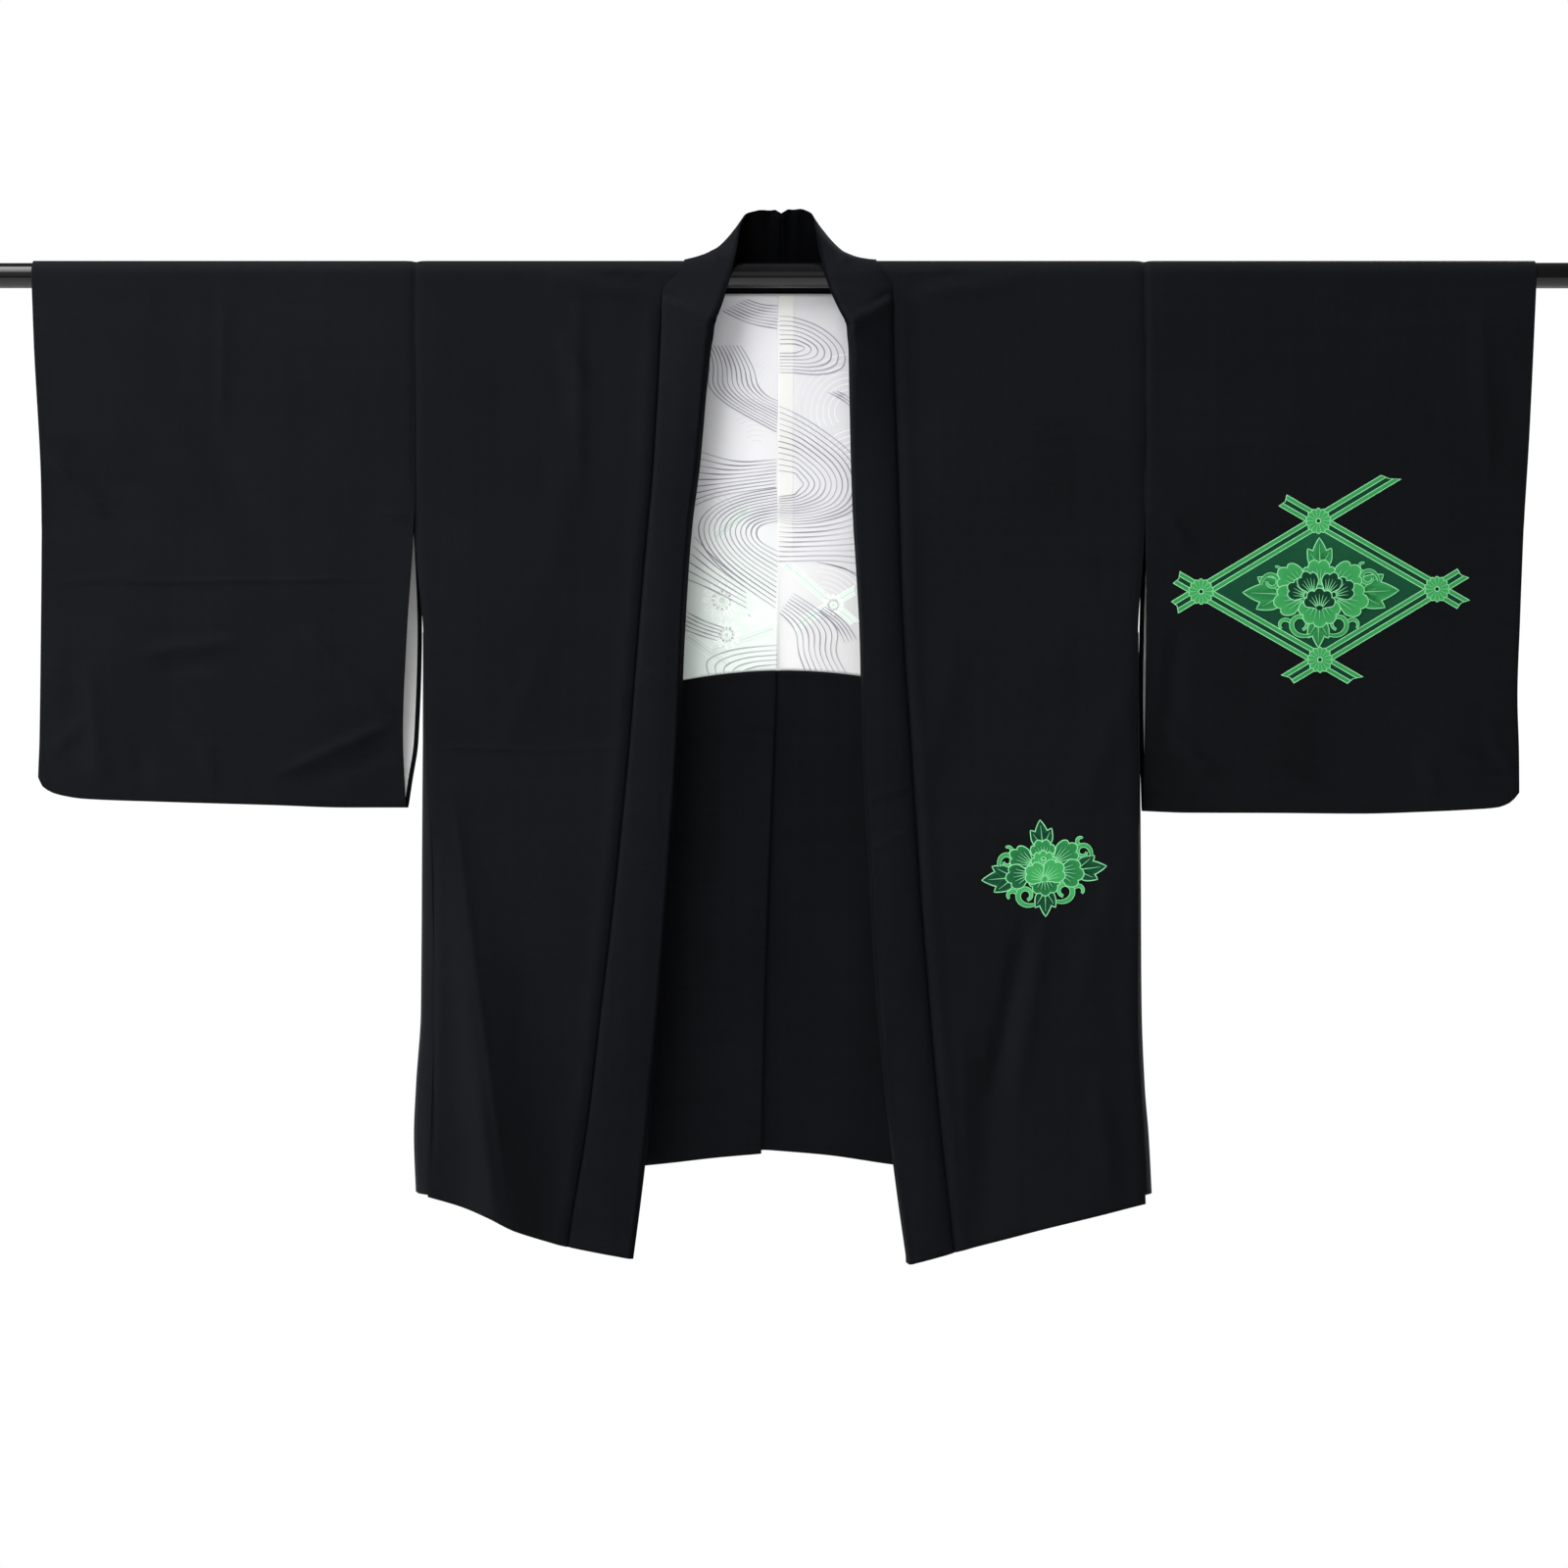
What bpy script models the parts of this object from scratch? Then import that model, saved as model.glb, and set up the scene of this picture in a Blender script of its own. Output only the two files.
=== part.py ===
"""Haori jacket hanging on a rod that runs through both sleeves.

Metres, +Z up. The origin is on the rod's axis, at mid-length. The front of the
jacket faces -Y. "right" and "left" are the wearer's, so the right side is at -X.
Every table is in millimetres and has one row per level; "drop" is the distance
below the rod's axis.
"""

import bpy
import numpy as np

for old in list(bpy.data.objects):
    bpy.data.objects.remove(old)

ROD_RADIUS = 0.011
ROD_LENGTH = 1.40
ROD_FACETS = 40
GAP = 0.0003
CLOTH = 0.0014
LINING = 0.0010
COLLAR_WALL = 0.0024
COLLAR_WIDTH = 0.057
ROLL_SHOWN = 0.0045
SHOULDER_X = {"right": -0.0862, "left": 0.0800}
SLEEVE_SEAM_X = {"right": -0.3188, "left": 0.3119}
ARMHOLE_DROP = 0.213
WRIST_OPENING_DROP = 0.215
GUSSET_TOP_DROP = 0.310
GUSSET_FOOT_DROP = 0.795
LINING_TOP_DROP = 0.0135
FACING_TOP_DROP = 0.3455
SIDES = {"right": -1, "left": 1}

OUTER_RADIUS = ROD_RADIUS + GAP + CLOTH

# Mean lengths, from which the hems' true places are found step by step.
FRONT_LENGTH = 0.83
BACK_LENGTH = 0.78
SLEEVE_LENGTH = 0.46

# The collar band: its corner stands this far in front of the fronts and dips this far below the
# seam, first near the neck and then at the hem; its front face is crowned by this much.
BAND_STAND = (0.0062, 0.0015)
BAND_DIP = (0.016, 0.010)
BAND_CROWN = 0.0025
ROLLED_BACK = (0.0025, 0.020)


def table(columns, *rows):
    """A table of millimetres as named columns of metres."""
    return dict(zip(columns.split(), np.array(rows, float).T / 1000))


# The front panel: its side edge, the collar seam and the collar's free edge.
FRONT = {
    "right": table(
        "drop side seam free",
        (-10, -318.8, -86.2, -40.0),
        (-5, -318.8, -87.6, -44.0),
        (0, -318.8, -91.0, -47.0),
        (7, -318.8, -98.2, -51.0),
        (13, -318.8, -103.6, -54.5),
        (46, -318.8, -105.5, -61.5),
        (100, -318.8, -108.2, -67.9),
        (165, -318.8, -112.3, -74.0),
        (213, -319.2, -116.5, -80.3),
        (247, -317.4, -119.6, -83.3),
        (310, -311.4, -124.9, -87.0),
        (408, -308.6, -132.8, -91.2),
        (526, -303.6, -144.4, -99.4),
        (637, -302.0, -157.2, -107.8),
        (735, -304.4, -168.9, -117.0),
        (800, -307.0, -179.4, -124.2),
        (850, -308.0, -187.4, -130.6),
    ),
    "left": table(
        "drop side seam free",
        (-10, 311.9, 80.0, 32.0),
        (-5, 311.9, 81.2, 36.0),
        (0, 311.9, 84.2, 39.0),
        (7, 311.9, 89.6, 43.0),
        (13, 311.9, 92.6, 47.5),
        (46, 311.9, 93.6, 56.2),
        (100, 311.9, 95.2, 57.6),
        (165, 311.9, 97.5, 59.2),
        (213, 311.9, 99.0, 61.0),
        (247, 310.0, 99.9, 63.2),
        (310, 305.6, 102.5, 66.6),
        (408, 304.6, 108.8, 69.0),
        (526, 304.8, 116.5, 74.8),
        (637, 303.6, 125.0, 81.6),
        (735, 308.4, 133.8, 91.3),
        (800, 311.4, 141.0, 99.4),
        (850, 312.4, 146.8, 106.6),
    ),
}

# The back panel's side edge and the furthest point of the side gusset's bulge.
BACK = {
    "right": table(
        "drop side bulge",
        (0, -318.8, -318.8),
        (213, -318.8, -318.8),
        (310, -312.6, -313.2),
        (460, -311.6, -314.0),
        (637, -310.6, -315.2),
        (703, -313.0, -319.6),
        (745, -315.0, -321.3),
        (800, -316.0, -319.2),
    ),
    "left": table(
        "drop side bulge",
        (0, 311.9, 311.9),
        (213, 311.9, 311.9),
        (310, 306.6, 307.6),
        (460, 307.2, 309.4),
        (637, 307.6, 310.8),
        (703, 310.0, 313.4),
        (745, 313.0, 316.8),
        (800, 315.6, 319.8),
    ),
}

# The hem: its drop at each place across the front, and across the back.
FRONT_HEM = {
    "right": table(
        "x drop",
        (-320, 794),
        (-306, 797),
        (-254, 813),
        (-230, 825),
        (-186, 840),
        (-130, 853),
    ),
    "left": table(
        "x drop",
        (107, 855),
        (147, 845),
        (221, 825),
        (285, 809),
        (310, 803),
        (320, 801),
    ),
}
BACK_HEM = {
    "right": table("x drop", (-320, 793), (-220, 785), (-119, 774), (-60, 767), (-19, 763)),
    "left": table("x drop", (-19, 760), (40, 765), (99, 774), (210, 785), (320, 793)),
}
CENTRE_BACK = table("drop x", (0, -2.5), (340, -6.8), (480, -11.9), (640, -17.4), (800, -20.6))

# The sleeve: its outer edge, and the body-side edges of its two layers.
SLEEVE = {
    "right": table(
        "drop outer front back",
        (-13, -650.8, -319.1, -319.1),
        (60, -648.4, -319.1, -319.1),
        (184, -643.6, -319.1, -319.1),
        (213, -643.6, -319.5, -319.1),
        (247, -643.8, -321.3, -317.4),
        (310, -644.4, -325.6, -315.2),
        (403, -645.6, -329.6, -317.8),
        (440, -646.8, -328.4, -323.0),
        (463, -645.6, -327.3, -326.3),
    ),
    "left": table(
        "drop outer front back",
        (-13, 651.0, 312.2, 312.2),
        (60, 648.0, 312.2, 312.2),
        (157, 644.2, 312.2, 312.2),
        (213, 641.6, 312.2, 312.2),
        (300, 638.2, 312.6, 309.6),
        (366, 636.0, 312.2, 308.6),
        (417, 637.4, 311.6, 309.2),
        (450, 637.6, 311.2, 310.0),
        (467, 637.0, 311.0, 310.4),
    ),
}
SLEEVE_BOTTOM = {
    "right": table(
        "x drop",
        (-647, 435),
        (-642, 444),
        (-630, 450),
        (-606, 454),
        (-540, 456.5),
        (-440, 459.5),
        (-380, 461.5),
        (-319, 461.5),
    ),
    "left": table(
        "x drop",
        (310, 464.5),
        (350, 466),
        (420, 466.2),
        (500, 466.8),
        (560, 465),
        (600, 463),
        (618, 461.5),
        (630, 457),
        (638, 448),
    ),
}
# Half the space from the front layer's outer face to the back one's.
SLEEVE_HALF = table(
    "drop body middle wrist",
    (0, 12.7, 12.7, 12.7),
    (60, 13.2, 12.0, 11.6),
    (130, 14.0, 10.8, 8.6),
    (190, 14.8, 9.6, 3.8),
    (213, 15.1, 9.2, 2.3),
    (300, 14.6, 8.2, 2.2),
    (400, 9.4, 5.6, 2.2),
    (440, 5.4, 3.8, 2.2),
    (470, 3.4, 2.8, 2.2),
)
BODY_SPREAD = table(
    "drop front back",
    (0, 0, 0),
    (213, 2.4, 2.4),
    (310, 4.4, 4.0),
    (500, 7.6, 6.8),
    (860, 12.4, 10.4),
)

# Large soft folds: where each runs (top and foot), how far it stands out and how wide it is.
FOLDS = {
    "front_right": table(
        "x_top drop_top x_foot drop_foot height half_width",
        (-291, 400, -247, 815, 15, 25),
        (-216, 440, -212, 830, -3, 40),
    ),
    "front_left": table(
        "x_top drop_top x_foot drop_foot height half_width",
        (203, 540, 172, 780, -4, 22),
        (262, 560, 268, 820, 3, 30),
    ),
    "back": table(
        "x_top drop_top x_foot drop_foot height half_width",
        (-160, 300, -176, 790, 5, 34),
        (-86, 360, -92, 780, -4, 26),
        (128, 320, 150, 790, 5, 34),
        (66, 380, 52, 780, -3, 26),
    ),
    "sleeve_right": table(
        "x_top drop_top x_foot drop_foot height half_width",
        (-450, 300, -360, 470, 2.5, 26),
        (-560, 200, -600, 440, 1.5, 30),
    ),
    "sleeve_left": table(
        "x_top drop_top x_foot drop_foot height half_width",
        (470, 240, 420, 460, 1.8, 30),
        (560, 220, 585, 450, 1.5, 26),
    ),
}

# The collar's free edge round the neck, by the distance sewn from the centre back.
COLLAR_NECK = {
    "right": table(
        "sewn x y z",
        (0, -3.0, 16.0, 54.5),
        (12, -8.5, 17.0, 57.5),
        (32, -21, 16.0, 57.2),
        (52, -31, 12.5, 54.5),
        (68, -36.2, 7.5, 49.0),
        (80, -38.8, 2.5, 41.5),
        (92, -40.6, -2.5, 33.0),
        (103, -42.2, -7.5, 23.5),
        (113, -44.4, -12.0, 13.0),
        (122, -47.0, -15.5, 1.5),
        (131, -50.4, -18.0, -11.0),
        (140, -55.0, -21.0, -26.5),
        (152, -60.8, -24.0, -45.0),
        (170, -63.4, -20.5, -62.0),
    ),
    "left": table(
        "sewn x y z",
        (0, -2.0, 16.0, 54.5),
        (12, 4.5, 17.0, 58.0),
        (30, 14.5, 16.0, 58.2),
        (49, 22.5, 12.5, 54.8),
        (66, 26.6, 7.5, 48.5),
        (77, 28.6, 2.5, 40.5),
        (88, 30.4, -2.5, 31.5),
        (99, 32.4, -7.5, 20.5),
        (109, 34.8, -12.0, 9.0),
        (118, 37.6, -15.5, -2.5),
        (126, 41.6, -18.0, -14.5),
        (135, 48.0, -21.0, -29.5),
        (148, 55.0, -24.0, -45.0),
        (166, 56.6, -20.5, -62.0),
    ),
}

# Base colour and roughness of each material.
FINISHES = {
    "outer_cloth": ((0.010, 0.012, 0.014), 0.85),
    "collar_cloth": ((0.011, 0.013, 0.015), 0.85),
    "lining_cloth": ((0.76, 0.77, 0.80), 0.60),
    "facing_cloth": ((0.012, 0.013, 0.015), 0.85),
    "rod_metal": ((0.012, 0.012, 0.013), 0.18),
}

FRONT_ROWS = 25
FIRST_SHARE = 0.045
TOP_SHARES = (0.029, 0.0175, 0.0085, 0)
ARC_ROWS = 8
LINED_ROWS = 11
FACED_ROWS = 13
BODY_COLUMNS = 12
NECK_COLUMNS = 5
SLEEVE_ROWS = 18
SLEEVE_PLACES = (0, 0.1, 0.24, 0.4, 0.56, 0.72, 0.84, 0.92, 0.965, 0.988, 1)
ARC = np.linspace(np.pi, 0, ARC_ROWS + 1)[1:-1]


def curve(rows, key, column, at):
    """A smooth line through a table's points that never swings past them."""
    places = rows[key]
    values = rows[column]
    rates = np.diff(values) / np.diff(places)
    before, after = rates[:-1], rates[1:]
    same = before * after > 0
    total = np.where(same, before + after, 1)
    slopes = np.where(same, 2 * before * after / total, 0)
    slopes = np.concatenate([rates[:1], slopes, rates[-1:]])
    at = np.clip(at, places[0], places[-1])
    span = np.clip(np.searchsorted(places, at, side="right") - 1, 0, len(places) - 2)
    step = places[span + 1] - places[span]
    t = (at - places[span]) / step
    rise = values[span + 1] - values[span]
    start = slopes[span] * step
    end = slopes[span + 1] * step
    bend = t * t * (3 - 2 * t)
    return values[span] + rise * bend + t * (1 - t) * ((1 - t) * start - t * end)


def blend(first, second, share):
    return first + (second - first) * share


def smooth_step(value):
    value = np.clip(value, 0, 1)
    return value * value * (3 - 2 * value)


def folds(rows, x, drop):
    """How far the soft folds of a table stand out: each is a bell across its line, growing down it."""
    total = np.zeros_like(x * drop)
    for x_top, drop_top, x_foot, drop_foot, height, half_width in zip(*rows.values()):
        along = (drop - drop_top) / (drop_foot - drop_top)
        middle = blend(x_top, x_foot, along)
        width = half_width * (0.45 + 0.55 * np.clip(along, 0, 1))
        bell = np.exp(-(((x - middle) / width) ** 2))
        total += height * smooth_step(along) * bell
    return total


def spread(layer, drop):
    """How far a body layer has moved away from the rod's tangent plane."""
    return curve(BODY_SPREAD, "drop", layer, drop)


def body_y(side, layer, x, drop):
    """The outer face of a body panel."""
    if layer == "front":
        return -(OUTER_RADIUS + spread("front", drop) + folds(FOLDS["front_" + side], x, drop))
    return OUTER_RADIUS + spread("back", drop) + folds(FOLDS["back"], x, drop)


def grid_faces(index):
    """Triangles of a grid of vertex numbers; -1 marks a place with no vertex."""
    a, b, c, d = index[:-1, :-1], index[1:, :-1], index[1:, 1:], index[:-1, 1:]
    whole = np.minimum(np.minimum(a, b), np.minimum(c, d)) >= 0
    halves = [np.stack([a, b, c], axis=2), np.stack([a, c, d], axis=2)]
    return np.concatenate([half[whole] for half in halves])


def rim_faces(faces, count):
    """The faces that join two skins round every open edge."""
    ends = np.concatenate([faces[:, [0, 1]], faces[:, [1, 2]], faces[:, [2, 0]]])
    keys = ends[:, 0] * count + ends[:, 1]
    turned = ends[:, 1] * count + ends[:, 0]
    start, end = ends[~np.isin(keys, turned)].T
    halves = [(end, start, start + count), (end, start + count, end + count)]
    return np.concatenate([np.stack(half, axis=1) for half in halves])


def signed_volume(points, faces):
    a, b, c = (points[faces[:, i]] for i in range(3))
    return (np.cross(a, b) * c).sum()


def material(slot):
    colour, roughness = FINISHES[slot]
    made = bpy.data.materials.get(slot) or bpy.data.materials.new(slot)
    made.use_nodes = True
    shader = made.node_tree.nodes["Principled BSDF"]
    shader.inputs["Base Color"].default_value = (*colour, 1)
    shader.inputs["Roughness"].default_value = roughness
    made.diffuse_color = (*colour, 1)
    return made


def solid(name, slot, points, faces):
    mesh = bpy.data.meshes.new(name)
    mesh.from_pydata(points.tolist(), [], [list(face) for face in faces])
    mesh.validate()
    mesh.materials.append(material(slot))
    made = bpy.data.objects.new(name, mesh)
    bpy.context.scene.collection.objects.link(made)
    return made


def wall(name, slot, outer, inner, faces):
    """A cloth wall: an outer skin, an inner skin facing the other way, and a rim at the open edges."""
    count = len(outer)
    points = np.concatenate([outer, inner])
    skins = np.concatenate([faces, faces[:, ::-1] + count, rim_faces(faces, count)])
    if signed_volume(points, skins) < 0:
        skins = skins[:, ::-1]
    return solid(name, slot, points, skins.tolist())


def flat_points(x, y, z):
    x, y, z = np.broadcast_arrays(x, y, z)
    return np.stack([x.ravel(), y.ravel(), z.ravel()], axis=1)


def front_grid(side):
    """x, y and drop of the front panel's outer face, from the hem up to the rod's level."""
    sign = SIDES[side]
    across = np.linspace(0, 1, BODY_COLUMNS)
    share = np.append(np.linspace(1, FIRST_SHARE, FRONT_ROWS), TOP_SHARES)[:, None]
    drop = share * FRONT_LENGTH
    for _ in range(3):
        seam = curve(FRONT[side], "drop", "seam", drop) + sign * GAP
        x = blend(curve(FRONT[side], "drop", "side", drop), seam, across)
        drop = share * curve(FRONT_HEM[side], "x", "drop", x)
    return x, body_y(side, "front", x, drop), drop


def back_grid(side):
    """x, y and drop of the back panel's outer face, from the rod's level to the hem.

    Columns run from the side edge to the shoulder point and on to the centre-back
    seam. One row lies at the top of the hem facing.
    """
    across = np.linspace(0, 1, BODY_COLUMNS)
    more = np.linspace(0, 1, NECK_COLUMNS + 1)[1:]
    lined = np.linspace(0, 1, LINED_ROWS + 1)[:, None] * np.ones(BODY_COLUMNS + NECK_COLUMNS)
    faced = np.linspace(0, 1, FACED_ROWS + 1)[1:, None] * np.ones(BODY_COLUMNS + NECK_COLUMNS)
    drop = np.concatenate([lined * FACING_TOP_DROP, blend(FACING_TOP_DROP, BACK_LENGTH, faced)])
    for _ in range(3):
        main = blend(curve(BACK[side], "drop", "side", drop[:, :BODY_COLUMNS]), SHOULDER_X[side], across)
        centre = curve(CENTRE_BACK, "drop", "x", drop[:, -1:]) + SIDES[side] * GAP / 2
        x = np.concatenate([main, blend(SHOULDER_X[side], centre, more)], axis=1)
        hem = curve(BACK_HEM[side], "x", "drop", x[LINED_ROWS + 1 :])
        drop = np.concatenate([lined * FACING_TOP_DROP, blend(FACING_TOP_DROP, hem, faced)])
    return x, body_y(side, "back", x, drop), drop


def shoulder_edge(side):
    """The neck edge's x where a body panel passes over the rod."""
    rise = np.where(np.cos(ARC) < 0, np.sin(ARC), 1) * OUTER_RADIUS
    return curve(FRONT[side], "drop", "seam", -rise)


def body_panel(side):
    """One length of cloth from the front hem, over the rod, to the back hem."""
    across = np.linspace(0, 1, BODY_COLUMNS)
    x_front, y_front, drop_front = front_grid(side)
    x_back, y_back, drop_back = back_grid(side)
    arc = ARC[:, None]
    x_arc = blend(SLEEVE_SEAM_X[side], shoulder_edge(side)[:, None], across)
    skins = []
    for inset in (0, CLOTH):
        radius = OUTER_RADIUS - inset
        front = flat_points(x_front, y_front + inset, -drop_front)
        top = flat_points(x_arc, radius * np.cos(arc), radius * np.sin(arc))
        back = flat_points(x_back, y_back - inset, -drop_back)
        skins.append(np.concatenate([front, top, back]))
    front_rows = len(x_front) + len(ARC)
    back_rows = len(x_back)
    wide = BODY_COLUMNS + NECK_COLUMNS
    index = np.full((front_rows + back_rows, wide), -1)
    count = front_rows * BODY_COLUMNS
    index[:front_rows, :BODY_COLUMNS] = np.arange(count).reshape(front_rows, BODY_COLUMNS)
    index[front_rows:] = count + np.arange(back_rows * wide).reshape(back_rows, wide)
    return wall("body_" + side, "outer_cloth", *skins, grid_faces(index))


def sleeve_half(side, u, drop):
    """Half the sleeve's depth at a place u of the way from the body to the wrist."""
    ends = [curve(SLEEVE_HALF, "drop", column, drop) for column in ("body", "middle", "wrist")]
    shape = ends[0] * (1 - u) * (1 - 2 * u) + 4 * ends[1] * u * (1 - u) + ends[2] * u * (2 * u - 1)
    return np.clip(shape, 0.0022, OUTER_RADIUS + 0.0025)


def sleeve_layer(side, layer, inset):
    """x, half depth and drop of one layer's face, from the bottom up to the rod's level."""
    u = np.array(SLEEVE_PLACES)
    share = np.linspace(1, 0, SLEEVE_ROWS + 1)[:, None] ** 0.92
    drop = share * SLEEVE_LENGTH
    for _ in range(3):
        edge = curve(SLEEVE[side], "drop", layer, drop)
        outer = curve(SLEEVE[side], "drop", "outer", drop) - SIDES[side] * inset
        x = blend(edge, outer, u)
        bottom = curve(SLEEVE_BOTTOM[side], "x", "drop", x)
        drop = share * (bottom - inset)
    half = sleeve_half(side, u, drop * np.ones_like(x))
    swell = folds(FOLDS["sleeve_" + side], x, drop) * smooth_step((bottom - drop) / 0.05)
    return x, half + swell - inset, drop


def sleeve(side):
    """A bag folded at the top: closed along the bottom and, below the hand opening, at the wrist."""
    arc = ARC[:, None]
    skins = []
    for inset in (0, CLOTH):
        x_front, half_front, drop_front = sleeve_layer(side, "front", inset)
        x_back, half_back, drop_back = sleeve_layer(side, "back", inset)
        radius = OUTER_RADIUS - inset
        x_arc = blend(x_front[-1], x_back[-1], (1 + np.cos(arc)) / 2)
        front = flat_points(x_front, -half_front, -drop_front)
        top = flat_points(x_arc, radius * np.cos(arc), radius * np.sin(arc))
        back = flat_points(x_back[::-1], half_back[::-1], -drop_back[::-1])
        skins.append(np.concatenate([front, top, back]))
    ring = 2 * (SLEEVE_ROWS + 1) + len(ARC)
    index = np.arange(ring * len(SLEEVE_PLACES)).reshape(ring, len(SLEEVE_PLACES))
    faces = [grid_faces(np.concatenate([index, index[:1]]))]
    drop = -skins[0][index[: SLEEVE_ROWS + 1, -1], 2]
    closed = int((drop > WRIST_OPENING_DROP).sum())
    edge = np.stack([index[::-1][:closed, -1], index[:closed, -1]])
    faces.append(grid_faces(edge))
    return wall("sleeve_" + side, "outer_cloth", *skins, np.concatenate(faces))


def gusset(side):
    """The narrow wedge between front and back, bulging outward a little."""
    sign = SIDES[side]
    x_front, y_front, drop_front = (part[::-1, :1] for part in front_grid(side))
    x_back, y_back, drop_back = (part[:, :1] for part in back_grid(side))
    drop = np.linspace(GUSSET_TOP_DROP, GUSSET_FOOT_DROP, 20)[:, None]
    across = np.linspace(0, 1, 6)
    front = [np.interp(drop, drop_front.ravel(), part.ravel()) for part in (x_front, y_front)]
    back = [np.interp(drop, drop_back.ravel(), part.ravel()) for part in (x_back, y_back)]
    swell = np.sin(np.pi * across) ** 0.8
    skins = []
    for inset in (0, CLOTH):
        bulge = curve(BACK[side], "drop", "bulge", drop) - sign * inset
        x = blend(front[0] - sign * inset, back[0] - sign * inset, across)
        x = x + (bulge - x.mean(axis=1, keepdims=True)) * swell
        y = blend(front[1] + CLOTH + GAP, back[1] - CLOTH - GAP, across)
        skins.append(flat_points(x, y, -drop))
    index = np.arange(x.size).reshape(x.shape)
    return wall("gusset_" + side, "outer_cloth", *skins, grid_faces(index))


def sewn_edge(side):
    """The neck edge of a body panel, from the centre back over the shoulder to the front hem."""
    x_front, y_front, drop_front = (part[:, -1] for part in front_grid(side))
    x_back, y_back, drop_back = (part[0, BODY_COLUMNS - 1 :][::-1] for part in back_grid(side))
    x = np.concatenate([x_back, shoulder_edge(side)[::-1], x_front[::-1]])
    y = np.concatenate([y_back, OUTER_RADIUS * np.cos(ARC)[::-1], y_front[::-1]])
    z = np.concatenate([-drop_back, OUTER_RADIUS * np.sin(ARC)[::-1], -drop_front[::-1]])
    return np.stack([x, y, z], axis=1)


def collar_sections(side):
    """The band's sewn edge, its front corner and its rolled-back edge, a point each per section."""
    sign = SIDES[side]
    edge = sewn_edge(side)
    steps = np.linalg.norm(np.diff(edge, axis=0), axis=1)
    run = np.concatenate([[0], np.cumsum(steps)])
    neck = COLLAR_NECK[side]
    shown = np.stack([curve(neck, "sewn", key, run) for key in ("x", "y", "z")], axis=1)
    end = neck["sewn"][-1]
    down = np.clip((run - end) / (run[-1] - end), 0, 1)
    below = blend(*BAND_DIP, down)
    x = curve(FRONT[side], "drop", "free", -edge[:, 2] + below)
    y = edge[:, 1] - blend(*BAND_STAND, smooth_step(down * 4))
    hanging = np.stack([x, y, edge[:, 2] - below], axis=1)
    shown = np.where(run[:, None] > end, hanging, shown)
    place = np.arange(len(edge))[:, None]
    inward = np.array([-2 * sign * GAP, 0, 0]) * (place >= NECK_COLUMNS)
    upward = np.array([0, 0.0006, 2 * GAP]) * (place <= NECK_COLUMNS)
    sewn = edge + inward + upward
    rolls = smooth_step((run - end + 0.020) / 0.030)[:, None]
    corner = shown + rolls * np.array([sign * ROLL_SHOWN, 0, 0])
    width = np.linalg.norm(corner - sewn, axis=1, keepdims=True)
    roll = np.clip(COLLAR_WIDTH - width, *ROLLED_BACK)
    rolled = shown + rolls * roll * np.array([0, 1, 0])
    rolled += (1 - rolls) * 0.002 * (shown - sewn) / width
    return sewn, corner, rolled, rolls


def collar(side):
    """The long band, from the centre back over the shoulder to the hem, its inner part rolled back."""
    sign = SIDES[side]
    sewn, corner, rolled, rolls = collar_sections(side)
    share = np.array([0, 0.33, 0.67, 1])[None, :, None]
    middle = blend(sewn[:, None], corner[:, None], share)
    middle[:, :, 1:2] -= np.sin(np.pi * share) * BAND_CROWN * rolls[:, None]
    bend = blend(corner, rolled, 0.25) + rolls * np.array([0, 0.0006, 0])
    lines = np.concatenate([middle, bend[:, None], rolled[:, None]], axis=1)
    normal = np.cross(np.gradient(lines, axis=0), np.gradient(lines, axis=1))
    normal /= -sign * np.linalg.norm(normal, axis=2, keepdims=True)
    back = np.array([0, 1, 0])
    normal[:, 0] = np.where(sewn[:, 2:] < 0, -back, sewn * np.array([0, 1, 1]))
    normal[: NECK_COLUMNS + 1, 0] = back
    normal[:, 0] /= np.linalg.norm(normal[:, 0], axis=1, keepdims=True)
    outer = (lines + normal * COLLAR_WALL / 2).reshape(-1, 3)
    inner = (lines - normal * COLLAR_WALL / 2).reshape(-1, 3)
    index = np.arange(len(outer)).reshape(lines.shape[:2])
    return wall("collar_" + side, "collar_cloth", outer, inner, grid_faces(index))


def between(grid, at, axis):
    """The grid's rows or columns read at fractional places."""
    grid = np.moveaxis(grid, axis, 0)
    at = np.array(at)
    low = np.clip(at.astype(int), 0, len(grid) - 2)
    share = (at - low).reshape(-1, *[1] * (grid.ndim - 1))
    return np.moveaxis(blend(grid[low], grid[low + 1], share), 0, axis)


def back_skin(name, slot, side, first, last):
    """A skin on the inside of the back panel, between two of the panel's rows."""
    x, y, drop = back_grid(side)
    rows = [first, *range(int(first) + 1, int(np.ceil(last))), last]
    columns = [0.12, *range(1, x.shape[1] - 1), x.shape[1] - 1]
    x, y, drop = (between(between(part, rows, 0), columns, 1) for part in (x, y, drop))
    y = y - CLOTH - GAP
    skins = [flat_points(x, y, -drop), flat_points(x, y - LINING, -drop)]
    index = np.arange(x.size).reshape(x.shape)
    return wall(name, slot, *skins, grid_faces(index))


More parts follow.
